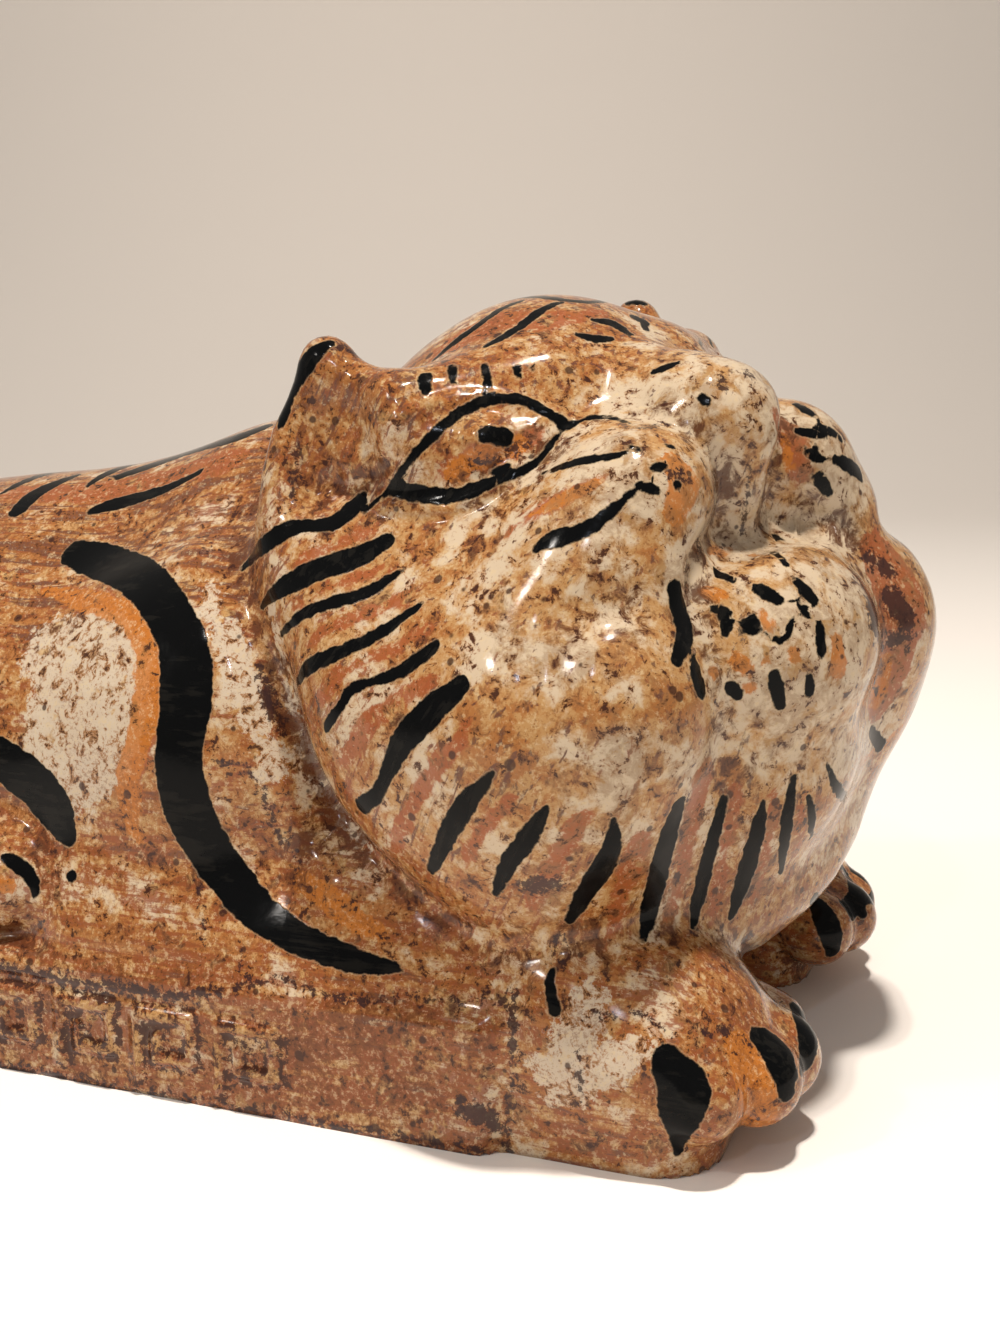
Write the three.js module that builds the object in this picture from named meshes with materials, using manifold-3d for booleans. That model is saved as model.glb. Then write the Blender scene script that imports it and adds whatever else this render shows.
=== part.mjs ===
// Glazed ceramic tiger lying on a low plinth, cast in one piece.
// Millimetres, +Z up, the tiger looks along +X and turns its head toward -Y.
import * as THREE from "three";
import { mergeVertices } from "three/addons/utils/BufferGeometryUtils.js";
import Module from "manifold-3d";

const wasm = await Module();
wasm.setup();

// Driving dimensions
const plinthBack = -168;
const plinthFront = 108;
const plinthHalfWidth = 74;
const plinthHeight = 27;
const plinthBevel = 3;
const ledgeHeight = 21;
const fretPitch = 19;
const fretLow = 3.5;
const fretHigh = 19;
const fretRib = 2.2;
const fretRelief = 1;
const headX = 102.3;
const headY = -8.4;
const headZ = 93;
const headTurn = 27;
const headTilt = 7;
const pawHalfSpacing = 51;
const hindFootHeight = 39.5;
const originX = 4.2;
const originY = -2.6;

// Distance functions: negative inside, positive outside
const clamp = (v, lo, hi) => Math.min(hi, Math.max(lo, v));

function ellipsoid(x, y, z, c, r) {
  const a = (x - c[0]) / r[0];
  const b = (y - c[1]) / r[1];
  const d = (z - c[2]) / r[2];
  const k0 = Math.hypot(a, b, d) + 1e-6;
  const k1 = Math.hypot(a / r[0], b / r[1], d / r[2]) + 1e-6;
  return (k0 * (k0 - 1)) / k1;
}

function limb(x, y, z, a, b, ra, rb) {
  const dx = b[0] - a[0];
  const dy = b[1] - a[1];
  const dz = b[2] - a[2];
  const along = (x - a[0]) * dx + (y - a[1]) * dy + (z - a[2]) * dz;
  const t = clamp(along / (dx * dx + dy * dy + dz * dz), 0, 1);
  return Math.hypot(x - a[0] - t * dx, y - a[1] - t * dy, z - a[2] - t * dz) - (ra + (rb - ra) * t);
}

function limbs(x, y, z, points, radii) {
  let d = Infinity;
  for (let i = 0; i + 1 < points.length; i++) {
    d = Math.min(d, limb(x, y, z, points[i], points[i + 1], radii[i], radii[i + 1]));
  }
  return d;
}

// Points along a smooth line through the knots
function curve(knots, steps) {
  const line = new THREE.CatmullRomCurve3(knots.map((k) => new THREE.Vector3(...k)), false, "catmullrom");
  return line.getPoints((knots.length - 1) * steps).map((p) => p.toArray());
}

function roundBox(x, y, z, lo, hi, r) {
  const a = Math.abs(x - (lo[0] + hi[0]) / 2) - (hi[0] - lo[0]) / 2 + r;
  const b = Math.abs(y - (lo[1] + hi[1]) / 2) - (hi[1] - lo[1]) / 2 + r;
  const c = Math.abs(z - (lo[2] + hi[2]) / 2) - (hi[2] - lo[2]) / 2 + r;
  const out = Math.hypot(Math.max(a, 0), Math.max(b, 0), Math.max(c, 0));
  return out + Math.min(Math.max(a, b, c), 0) - r;
}

function blend(a, b, k) {
  const h = clamp(0.5 + (0.5 * (b - a)) / k, 0, 1);
  return b * (1 - h) + a * h - k * h * (1 - h);
}

const carve = (a, b, k) => -blend(-a, b, k);

// Coordinates of a point in a frame that is turned about Z, then Y, then X
function turned(x, y, z, c, yaw, pitch, roll) {
  const p = new THREE.Vector3(x - c[0], y - c[1], z - c[2]);
  p.applyAxisAngle(new THREE.Vector3(0, 0, 1), -THREE.MathUtils.degToRad(yaw));
  p.applyAxisAngle(new THREE.Vector3(0, 1, 0), THREE.MathUtils.degToRad(pitch));
  p.applyAxisAngle(new THREE.Vector3(1, 0, 0), -THREE.MathUtils.degToRad(roll));
  return p;
}

// The eye is an almond lying across the slope from brow to cheek
const eyeCentre = new THREE.Vector3(14.9, 42.4, 43.5);
const eyeHalfLength = 19;
const eyeHalfHeight = 9;
const eyeSwell = 3.2;
const eyeLong = new THREE.Vector3(0.775, -0.553, 0.304).normalize();
const eyeOut = new THREE.Vector3(0.62, 0.7, 0.34);
eyeOut.addScaledVector(eyeLong, -eyeOut.dot(eyeLong)).normalize();
const eyeUp = new THREE.Vector3().crossVectors(eyeOut, eyeLong);
if (eyeUp.z < 0) {
  eyeUp.negate();
}

// Rim of the ruff, from beside the ear round to under the chin
const ruffKnots = [
  [-12, 47, 20], [-1, 55, 2], [9, 56, -15], [20, 51, -29], [31, 39, -43], [37, 20, -51], [39, 0, -54],
];
const ruff = curve(ruffKnots, 2);
const earTip = [-17, 45, 60];
const earRoots = [[-17, 47, 40], [-8, 45, 42], [1, 41, 50]];
const earBack = curve([earTip, [-23, 50, 46], [-22, 54, 30], [-12, 56, 14]], 2);
const earHollow = [-4, 55, 52];
const mouth = curve([[54, 0, 22], [53, 12, 22], [52, 22, 19], [51, 28, 10], [50, 29, 0]], 2);
const lipFold = curve([[52, 40, 16], [48, 50, 14], [49, 55, 3], [51, 58, -9]], 2);

// Head about its own centre, +X to the nose; one half is drawn and mirrored
function headField(x, ySigned, z) {
  const y = Math.abs(ySigned);
  let d = ellipsoid(x, y, z, [-14, 0, 14], [40, 54, 44]); // skull
  d = blend(d, ellipsoid(x, y, z, [-2, 0, 30], [38, 42, 39]), 8); // crown
  d = blend(d, ellipsoid(x, y, z, [8, 0, -6], [46, 67, 48]), 14); // cheeks
  d = blend(d, limbs(x, y, z, ruff, ruff.map(() => 13)), 12);
  d = blend(d, ellipsoid(x, y, z, [24, 0, -30], [32, 52, 32]), 14); // beard
  d = blend(d, ellipsoid(x, y, z, [35, 39, -9], [24, 26, 27]), 16); // jowl
  d = blend(d, ellipsoid(x, y, z, [38, 27, 18], [18, 19, 22]), 12); // hanging lip
  d = blend(d, ellipsoid(x, y, z, [41, 21, 33], [14, 14, 12]), 6); // whisker pad
  d = blend(d, ellipsoid(x, y, z, [14, 0, 36], [32, 26, 18]), 10); // root of the muzzle
  d = blend(d, ellipsoid(x, y, z, [43, 36, -3], [21, 19, 20]), 6); // lobe of the lower lip
  d = blend(d, ellipsoid(x, y, z, [41, 0, -20], [25, 28, 24]), 10); // under the chin
  d = blend(d, ellipsoid(x, y, z, [49, 0, 0], [23, 27, 22]), 7); // chin
  d = blend(d, limb(x, y, z, [4, 0, 45], [34, 0, 46], 12, 11), 6); // bridge of the nose
  d = blend(d, ellipsoid(x, y, z, [42, 1, 44.5], [12.5, 11.5, 10.5]), 4); // nose
  d = blend(d, limb(x, y, z, [50, 0, 40], [46, 0, 26], 5, 5), 4); // wall between the nostrils
  d = blend(d, limb(x, y, z, [14, 17, 51], [0, 42, 50], 8, 8), 8); // brow
  const fromEye = new THREE.Vector3(x, y, z).sub(eyeCentre);
  const l = fromEye.dot(eyeLong) / eyeHalfLength;
  const u = fromEye.dot(eyeUp);
  if (Math.abs(fromEye.dot(eyeOut)) < 16 && z > 8 && Math.abs(l) < 1) {
    const t = clamp((eyeHalfHeight * (1 - l * l) - Math.abs(u)) / eyeHalfHeight, 0, 1);
    d -= eyeSwell * t * (2 - t);
  }
  d = carve(d, ellipsoid(x, y, z, earHollow, [10, 7, 11]), 4);
  d += 3.2 * Math.exp(-((limbs(x, y, z, mouth, mouth.map(() => 0)) / 4) ** 2));
  return d + 1.5 * Math.exp(-((limbs(x, y, z, lipFold, lipFold.map(() => 0)) / 4.8) ** 2));
}

// One ear, a leaf spread from its tip to the head, in the head's own frame
function earField(x, y, z) {
  const growth = (i) => 3.6 + (5.4 * i) / (earBack.length - 1);
  let d = limbs(x, y, z, earBack, earBack.map((_, i) => growth(i)));
  for (const root of earRoots) {
    d = blend(d, limb(x, y, z, earTip, root, 3.6, 5.5), 4);
  }
  return carve(d, ellipsoid(x, y, z, earHollow, [10, 7, 11]), 2);
}

const spineRadius = 26.5;
const spine = curve([[-130, 0, 66], [-95, 0, 80], [-60, 0, 88.5], [-20, 0, 95], [28, 0, 106]], 2);

// Body, neck and haunches, without head and forelegs
function torsoField(x, ySigned, z) {
  const y = Math.abs(ySigned);
  let d = ellipsoid(x, y, z, [-45, 0, 58], [120, 65, 58]);
  d = blend(d, ellipsoid(x, y, z, [-116, 34, 58], [44, 34, 48]), 14); // rump
  d = blend(d, ellipsoid(x, y, z, [-98, 47, 56], [44, 28, 44]), 4); // thigh
  d = blend(d, ellipsoid(x, y, z, [32, 30, 62], [46, 38, 50]), 16); // shoulder
  d = blend(d, ellipsoid(x, y, z, [50, 0, 96], [46, 40, 38]), 14); // neck
  d = blend(d, limbs(x, y, z, spine, spine.map(() => spineRadius)), 18);
  d = blend(d, ellipsoid(x, y, z, [80, 0, 42], [34, 62, 36]), 10); // chest
  return blend(d, roundBox(x, y, z, [-4, -73, 2], [106, 73, 45], 20), 16); // flanks run out on the plinth
}

// Each toe: how far outward of the paw's middle, and its foremost x
const toes = [[-19, 160], [-8, 164], [3, 162.5], [13.5, 154]];

// One foreleg with its paw; y is measured outward from the middle of the body
function forelegField(x, y, z) {
  const c = pawHalfSpacing;
  let d = roundBox(x, y, z, [94, c - 25, -10], [149, c + 20, 30], 13);
  d = blend(d, ellipsoid(x, y, z, [130, c - 1, 20], [26, 23, 18]), 8);
  for (const [outward, front] of toes) {
    d = blend(d, limb(x, y, z, [front - 34, c + outward * 0.8, 28], [front - 9, c + outward, 15], 8, 9), 2.5);
  }
  return blend(d, limb(x, y, z, [78, c - 5, 34], [126, c, 27], 22, 15), 16);
}

function hindFootField(x, y, z) {
  const h = hindFootHeight;
  let d = limb(x, y, z, [-78, 58, h], [-8, 61, h - 1], 15, 13);
  d = blend(d, roundBox(x, y, z, [-80, 44, h - 22], [-9, 68, h - 6], 6), 4); // sole, resting on the plinth
  for (const a of [-8, 0, 8]) {
    d = blend(d, limb(x, y, z, [-22, 64, h + a], [-3, 62, h - 2 + a * 0.9], 5, 5.5), 1.5);
  }
  return d;
}

function tailField(x, y, z) {
  const path = [[-160, 10, 62], [-158, 42, 50], [-140, 62, 42], [-108, 70, 38], [-76, 70, 44], [-62, 68, 56]];
  return limbs(x, y, z, path, [10, 9.5, 9, 8.5, 8, 7.5]);
}

// Axis positions from lo to hi with a step that depends on where they are
function ticks(lo, hi, stepAt) {
  const list = [];
  for (let v = lo; v < hi + stepAt(v); v += stepAt(v)) {
    list.push(v);
  }
  return list;
}

// Wraps a closed skin of quads round a distance function, then draws it onto the surface
function skin(field, xs, ys, zs) {
  const [nx, ny, nz] = [xs.length, ys.length, zs.length];
  const at = (i, j, k) => (i * ny + j) * nz + k;
  const value = new Float64Array(nx * ny * nz);
  for (let i = 0; i < nx; i++) {
    for (let j = 0; j < ny; j++) {
      for (let k = 0; k < nz; k++) {
        value[at(i, j, k)] = field(xs[i], ys[j], zs[k]);
      }
    }
  }
  const corner = new Int32Array(nx * ny * nz).fill(-1);
  const points = [];
  for (let i = 0; i + 1 < nx; i++) {
    for (let j = 0; j + 1 < ny; j++) {
      for (let k = 0; k + 1 < nz; k++) {
        const sum = new THREE.Vector3();
        let crossings = 0;
        for (let axis = 0; axis < 3; axis++) {
          for (const [a, b] of [[0, 0], [0, 1], [1, 0], [1, 1]]) {
            const s = [axis === 0 ? 0 : a, axis === 1 ? 0 : axis === 0 ? a : b, axis === 2 ? 0 : b];
            const e = s.map((v, n) => (n === axis ? 1 : v));
            const v0 = value[at(i + s[0], j + s[1], k + s[2])];
            const v1 = value[at(i + e[0], j + e[1], k + e[2])];
            if (v0 < 0 !== v1 < 0) {
              const t = v0 / (v0 - v1);
              sum.x += xs[i + s[0]] + t * (xs[i + e[0]] - xs[i + s[0]]);
              sum.y += ys[j + s[1]] + t * (ys[j + e[1]] - ys[j + s[1]]);
              sum.z += zs[k + s[2]] + t * (zs[k + e[2]] - zs[k + s[2]]);
              crossings++;
            }
          }
        }
        if (crossings > 0) {
          corner[at(i, j, k)] = points.length;
          points.push(sum.divideScalar(crossings));
        }
      }
    }
  }
  const limit = 0.45 * (xs[1] - xs[0]);
  for (const p of points) {
    for (let round = 0; round < 3; round++) {
      const e = 0.2;
      const gx = (field(p.x + e, p.y, p.z) - field(p.x - e, p.y, p.z)) / (2 * e);
      const gy = (field(p.x, p.y + e, p.z) - field(p.x, p.y - e, p.z)) / (2 * e);
      const gz = (field(p.x, p.y, p.z + e) - field(p.x, p.y, p.z - e)) / (2 * e);
      const g = new THREE.Vector3(gx, gy, gz);
      const move = clamp(field(p.x, p.y, p.z) / (g.lengthSq() + 1e-6), -limit, limit);
      p.addScaledVector(g, -move);
    }
  }
  const index = [];
  const addQuad = (a, b, c, d, flip) => {
    const across = points[a].distanceTo(points[c]) < points[b].distanceTo(points[d]);
    const two = across ? [a, b, c, a, c, d] : [a, b, d, b, c, d];
    index.push(...(flip ? two.reverse() : two));
  };
  for (let i = 1; i + 1 < nx; i++) {
    for (let j = 1; j + 1 < ny; j++) {
      for (let k = 1; k + 1 < nz; k++) {
        const inside = value[at(i, j, k)] < 0;
        if (inside !== value[at(i + 1, j, k)] < 0) {
          addQuad(corner[at(i, j - 1, k - 1)], corner[at(i, j, k - 1)], corner[at(i, j, k)],
            corner[at(i, j - 1, k)], !inside);
        }
        if (inside !== value[at(i, j + 1, k)] < 0) {
          addQuad(corner[at(i - 1, j, k - 1)], corner[at(i - 1, j, k)], corner[at(i, j, k)],
            corner[at(i, j, k - 1)], !inside);
        }
        if (inside !== value[at(i, j, k + 1)] < 0) {
          addQuad(corner[at(i - 1, j - 1, k)], corner[at(i, j - 1, k)], corner[at(i, j, k)],
            corner[at(i - 1, j, k)], !inside);
        }
      }
    }
  }
  const geometry = new THREE.BufferGeometry();
  geometry.setAttribute("position", new THREE.Float32BufferAttribute(points.flatMap((p) => p.toArray()), 3));
  geometry.setIndex(index);
  return geometry;
}

function toSolid(geometry) {
  const bare = geometry.clone();
  bare.deleteAttribute("normal");
  bare.deleteAttribute("uv");
  const merged = mergeVertices(bare, 1e-4);
  return new wasm.Manifold(new wasm.Mesh({
    numProp: 3,
    vertProperties: new Float32Array(merged.attributes.position.array),
    triVerts: new Uint32Array(merged.index.array),
  }));
}

function mirrored(geometry) {
  const copy = geometry.clone().scale(1, -1, 1);
  const index = copy.index.array;
  for (let i = 0; i < index.length; i += 3) {
    [index[i], index[i + 1]] = [index[i + 1], index[i]];
  }
  return copy;
}

function box(x0, x1, y0, y1, z0, z1) {
  const geometry = new THREE.BoxGeometry(x1 - x0, y1 - y0, z1 - z0);
  return geometry.translate((x0 + x1) / 2, (y0 + y1) / 2, (z0 + z1) / 2);
}

const headGeometry = skin(
  headField,
  ticks(-72, 80, (v) => (v < -8 ? 9 : 5)),
  ticks(-81, 81, () => 5.4),
  ticks(-80, 76, (v) => (v < 8 ? 7 : 4.9)),
);
const earGeometry = skin(
  earField,
  ticks(-38, 14, () => 3.9),
  ticks(28, 74, () => 3.9),
  ticks(-2, 74, () => 4.2),
);
const otherEarGeometry = mirrored(earGeometry);
for (const piece of [headGeometry, earGeometry, otherEarGeometry]) {
  piece.rotateX(THREE.MathUtils.degToRad(headTilt));
  piece.rotateZ(-THREE.MathUtils.degToRad(headTurn));
  piece.translate(headX, headY, headZ);
}

const torsoGeometry = skin(
  torsoField,
  ticks(-186, 134, () => 12.5),
  ticks(-87.5, 87.5, () => 12.5),
  ticks(-14, 150, () => 12.5),
);

const forelegGeometry = skin(
  forelegField,
  ticks(46, 178, (v) => (v < 120 ? 9 : 5.2)),
  ticks(8, 92, () => 5.2),
  ticks(-24, 72, () => 6),
);

const hindFootGeometry = skin(
  hindFootField,
  ticks(-106, 20, (v) => (v < -26 ? 9 : 4.4)),
  ticks(32, 88, () => 5.2),
  ticks(9, 70, () => 4.6),
);

const tailGeometry = skin(
  tailField,
  ticks(-178, -46, () => 6.5),
  ticks(-8, 88, () => 6.5),
  ticks(22, 82, () => 6.5),
);

// Plinth block with bevelled edges, running past the floor plane so that the cut leaves it flat
const plan = new THREE.Shape();
plan.moveTo(plinthBack + plinthBevel, -plinthHalfWidth + plinthBevel);
plan.lineTo(plinthFront - plinthBevel, -plinthHalfWidth + plinthBevel);
plan.lineTo(plinthFront - plinthBevel, plinthHalfWidth - plinthBevel);
plan.lineTo(plinthBack + plinthBevel, plinthHalfWidth - plinthBevel);
plan.closePath();
const plinthGeometry = new THREE.ExtrudeGeometry(plan, {
  depth: plinthHeight + 8 - 2 * plinthBevel,
  bevelEnabled: true,
  bevelSize: plinthBevel,
  bevelThickness: plinthBevel,
  bevelSegments: 3,
}).translate(0, 0, plinthBevel - 8);

// Key fret: each unit is one square hook that turns in on itself
function fretHook() {
  const w = fretPitch - 4;
  const h = fretHigh - fretLow;
  const r = fretRib;
  const low = h * 0.3;
  const lip = w * 0.36;
  const shape = new THREE.Shape();
  shape.moveTo(0, 0);
  shape.lineTo(r, 0);
  shape.lineTo(r, h - r);
  shape.lineTo(w - r, h - r);
  shape.lineTo(w - r, low + r);
  shape.lineTo(lip + r, low + r);
  shape.lineTo(lip + r, h * 0.64);
  shape.lineTo(lip, h * 0.64);
  shape.lineTo(lip, low);
  shape.lineTo(w, low);
  shape.lineTo(w, h);
  shape.lineTo(0, h);
  shape.closePath();
  return shape;
}

// A hook stood upright on the plinth face whose outward direction is turned by angle about Z
function fretOn(angle, distance, along) {
  const rib = new THREE.ExtrudeGeometry(fretHook(), { depth: fretRelief + 1, bevelEnabled: false });
  rib.rotateX(Math.PI / 2);
  rib.translate(along, -distance + 1, fretLow);
  return rib.rotateZ(angle);
}

const frets = [];
for (let x = plinthBack + 8; x + fretPitch < 72; x += fretPitch) {
  frets.push(fretOn(0, plinthHalfWidth, x));
  frets.push(fretOn(Math.PI, plinthHalfWidth, -x - fretPitch));
}
for (let y = -plinthHalfWidth + 8; y + fretPitch < plinthHalfWidth; y += fretPitch) {
  frets.push(fretOn(-Math.PI / 2, -plinthBack, y));
}

let tiger = toSolid(torsoGeometry).add(toSolid(headGeometry));
tiger = tiger.add(toSolid(earGeometry)).add(toSolid(otherEarGeometry));
for (const side of [forelegGeometry, hindFootGeometry]) {
  tiger = tiger.add(toSolid(side)).add(toSolid(mirrored(side)));
}
tiger = tiger.add(toSolid(tailGeometry)).add(toSolid(plinthGeometry));
for (const rib of frets) {
  tiger = tiger.add(toSolid(rib));
}
// Incised line under the ledge, on both long sides
for (const s of [-1, 1]) {
  const y = s * plinthHalfWidth;
  const line = box(plinthBack - 5, 60, y - 0.9, y + 0.9, ledgeHeight - 0.7, ledgeHeight + 0.7);
  tiger = tiger.subtract(toSolid(line));
}
// Flat underside
tiger = tiger.subtract(toSolid(box(-400, 400, -200, 200, -80, 0)));

// Where two folds of the surface only touch along a line, each side is drawn back by a hair
function openPinches(points, index) {
  const users = new Map();
  for (let i = 0; i < points.length; i += 3) {
    const place = `${points[i]} ${points[i + 1]} ${points[i + 2]}`;
    users.set(place, [...(users.get(place) ?? []), i / 3]);
  }
  const touching = new Set([...users.values()].filter((list) => list.length > 1).flat());
  const middle = new Map([...touching].map((v) => [v, { sum: new THREE.Vector3(), count: 0 }]));
  for (let i = 0; i < index.length; i += 3) {
    const corners = [index[i], index[i + 1], index[i + 2]];
    for (const v of corners.filter((c) => touching.has(c))) {
      for (const other of corners) {
        middle.get(v).sum.add(new THREE.Vector3().fromArray(points, 3 * other));
        middle.get(v).count++;
      }
    }
  }
  for (const [v, { sum, count }] of middle) {
    const p = new THREE.Vector3().fromArray(points, 3 * v);
    p.lerp(sum.divideScalar(count), 0.04).toArray(points, 3 * v);
  }
}

const cast = tiger.getMesh();
openPinches(cast.vertProperties, cast.triVerts);
const geometry = new THREE.BufferGeometry();
geometry.setAttribute("position", new THREE.Float32BufferAttribute(cast.vertProperties, 3));
geometry.setIndex(new THREE.Uint32BufferAttribute(cast.triVerts, 1));
geometry.translate(-originX, -originY, 0);
geometry.computeVertexNormals();

const glaze = new THREE.MeshStandardMaterial({ color: 0xa8784a, roughness: 0.2, metalness: 0 });
const tigerMesh = new THREE.Mesh(geometry, glaze);
tigerMesh.name = "tiger";

const model = new THREE.Group();
model.add(tigerMesh);
export default model;
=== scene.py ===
import math
import bpy
import numpy as np
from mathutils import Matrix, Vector


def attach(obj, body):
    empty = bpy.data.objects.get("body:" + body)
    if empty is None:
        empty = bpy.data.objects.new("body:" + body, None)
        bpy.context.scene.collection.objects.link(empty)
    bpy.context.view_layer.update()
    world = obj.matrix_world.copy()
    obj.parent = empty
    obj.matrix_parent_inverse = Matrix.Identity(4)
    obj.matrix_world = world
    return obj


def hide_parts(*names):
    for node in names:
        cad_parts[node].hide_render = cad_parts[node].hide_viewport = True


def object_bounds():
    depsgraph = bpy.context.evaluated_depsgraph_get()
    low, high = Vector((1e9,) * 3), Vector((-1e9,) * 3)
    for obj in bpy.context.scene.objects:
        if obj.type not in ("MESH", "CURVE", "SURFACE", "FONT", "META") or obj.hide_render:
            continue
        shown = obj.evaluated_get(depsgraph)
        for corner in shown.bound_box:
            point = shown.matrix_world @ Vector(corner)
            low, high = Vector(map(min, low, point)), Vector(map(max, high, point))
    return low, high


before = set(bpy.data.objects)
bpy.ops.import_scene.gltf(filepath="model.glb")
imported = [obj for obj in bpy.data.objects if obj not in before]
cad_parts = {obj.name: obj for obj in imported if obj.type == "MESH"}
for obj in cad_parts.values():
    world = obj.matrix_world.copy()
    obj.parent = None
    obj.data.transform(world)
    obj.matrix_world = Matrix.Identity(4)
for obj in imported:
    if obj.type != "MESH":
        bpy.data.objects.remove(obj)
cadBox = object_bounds()

# The tiger is drawn in millimetres, +X to its front, +Z up, and moved into the frame at the end.
tiger = {
    "origin": (4.2, -2.6, 0.0),          # the middle of its footprint, in the drawing
    "headCentre": (102.3, -8.4, 93.0), "headTurn": 27.0, "headTilt": 7.0,
    "plinthBack": -168.0, "plinthFront": 108.0, "plinthHalfWidth": 74.0, "plinthHeight": 27.0,
    "plinthRound": 3.5,
    "pawSpacing": 51.0, "hindFootHeight": 39.5, "backWidth": 26.5,
    "napeRollHeight": 2.4, "napeRollWidth": 6.5,
    "ledgeHeight": 21.0, "ledgeDepth": 1.0, "ledgeWidth": 0.9, "ledgeEnd": 62.0,
    "fretPitch": 19.0, "fretLow": 3.5, "fretHigh": 19.0, "fretRib": 2.2, "fretRelief": 1.0, "fretEnd": 68.0,
    "unevenness": 0.3,                   # how far the hand-worked surface wanders
}
# fitted to the photo: place in mm, degrees down and round, lens and film in mm, the photo's pixels
camera = {"place": (202.5, -320.0, 140.0), "down": 9.96, "turn": 20.6, "lens": 40.9, "film": 36.0,
          "image": (1000, 1333)}


# Forms are distances in mm, below zero inside. p is a tuple of x, y and z arrays.
def unit(v):
    v = np.array(v, float)
    return v / np.linalg.norm(v)


def ellipsoid(p, c, r):
    a = [(p[i] - c[i]) / r[i] for i in range(3)]
    k0 = np.sqrt(a[0] ** 2 + a[1] ** 2 + a[2] ** 2) + 1e-6
    k1 = np.sqrt((a[0] / r[0]) ** 2 + (a[1] / r[1]) ** 2 + (a[2] / r[2]) ** 2) + 1e-6
    return k0 * (k0 - 1) / k1


def limb(p, a, b, ra, rb):
    # a rounded rod from a to b, whose radius goes from ra to rb
    d = [b[i] - a[i] for i in range(3)]
    t = sum((p[i] - a[i]) * d[i] for i in range(3)) / sum(v * v for v in d)
    t = np.clip(t, 0, 1)
    return np.sqrt(sum((p[i] - a[i] - t * d[i]) ** 2 for i in range(3))) - (ra + (rb - ra) * t)


def limbs(p, line, radii):
    out = limb(p, line[0], line[1], radii[0], radii[1])
    for i in range(1, len(line) - 1):
        out = np.minimum(out, limb(p, line[i], line[i + 1], radii[i], radii[i + 1]))
    return out


def bend(a, b, c, d, t):
    # a smooth line from b to c, with a before and d after them
    return 0.5 * (2 * b + (c - a) * t + (2 * a - 5 * b + 4 * c - d) * t * t
                  + (3 * b - a - 3 * c + d) * t ** 3)


def withEnds(knots):
    # one more knot past each end, so that a smooth line reaches both
    k = np.array(knots, float)
    return np.vstack([2 * k[0] - k[1], k, 2 * k[-1] - k[-2]])


def curve(knots, steps=3):
    # points along a smooth line through the knots
    k = withEnds(knots)
    out = []
    for i in range(1, len(k) - 2):
        for t in np.linspace(0, 1, steps, endpoint=False):
            out.append(bend(*k[i - 1:i + 3], t))
    return [tuple(v) for v in out] + [tuple(k[-2])]


def roundBox(p, lo, hi, r):
    q = [np.abs(p[i] - (lo[i] + hi[i]) / 2) - (hi[i] - lo[i]) / 2 + r for i in range(3)]
    out = np.sqrt(sum(np.maximum(v, 0) ** 2 for v in q))
    return out + np.minimum(np.maximum(q[0], np.maximum(q[1], q[2])), 0) - r


def blend(a, b, k):
    # both forms, melted together over about k mm
    h = np.clip(0.5 + 0.5 * (b - a) / k, 0, 1)
    return b * (1 - h) + a * h - k * h * (1 - h)


def carve(a, b, k):
    # form a with form b scooped out
    return -blend(-a, b, k)


def toHead(p):
    # from the drawing to the head's own axes: x out of the face, y to its left, z over the crown
    x, y, z = [p[i] - tiger["headCentre"][i] for i in range(3)]
    a = math.radians(-tiger["headTurn"])
    x, y = x * math.cos(a) + y * math.sin(a), -x * math.sin(a) + y * math.cos(a)
    a = math.radians(tiger["headTilt"])
    y, z = y * math.cos(a) + z * math.sin(a), -y * math.sin(a) + z * math.cos(a)
    return x, y, z


def fromHead(p):
    x, y, z = p
    a = math.radians(tiger["headTilt"])
    y, z = y * math.cos(a) - z * math.sin(a), y * math.sin(a) + z * math.cos(a)
    a = math.radians(-tiger["headTurn"])
    x, y = x * math.cos(a) - y * math.sin(a), x * math.sin(a) + y * math.cos(a)
    return tuple(v + c for v, c in zip((x, y, z), tiger["headCentre"]))


# The eye is an almond that slopes from the brow down to the cheek.
eye = {
    "centre": (14.9, 42.4, 43.5), "along": (0.775, -0.553, 0.304), "out": (0.62, 0.70, 0.34),
    "long": 19.0, "half": 9.0, "swell": 3.2,    # half its length, half its height, how far it stands out
    "lid": 1.3, "lidWidth": 1.7,
    "pupil": (6.5, 0.5, 3.4), "pupilRise": 1.5,    # the pupil's place along and up, and its radius
}
eyeAlong = unit(eye["along"])
eyeOut = np.array(eye["out"])
eyeOut = unit(eyeOut - (eyeOut @ eyeAlong) * eyeAlong)
eyeUp = np.cross(eyeOut, eyeAlong)
eyeUp = eyeUp if eyeUp[2] > 0 else -eyeUp

ruffLine = curve([(-12, 47, 20), (-1, 55, 2), (9, 56, -15), (20, 51, -29), (31, 39, -43), (37, 20, -51),
                  (39, 0, -54)], 2)
earTip = (-17, 45, 60)
earRoots = [(-17, 47, 40), (-8, 45, 42), (1, 41, 50)]
earBack = curve([earTip, (-23, 50, 46), (-22, 54, 30), (-12, 56, 14)], 2)
# line of each crease, how deep and how wide
creases = {
    "mouth": (curve([(54, 0, 22), (53, 12, 22), (52, 22, 19), (51, 28, 10), (50, 29, 0)]), 3.2, 4.0),
    "jowl": (curve([(52, 40, 16), (48, 50, 14), (49, 55, 3), (51, 58, -9)]), 1.5, 4.8),
    "nostril": (curve([(52, 5, 52), (55, 7, 49)], 1), 1.0, 2.4),
}


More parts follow.
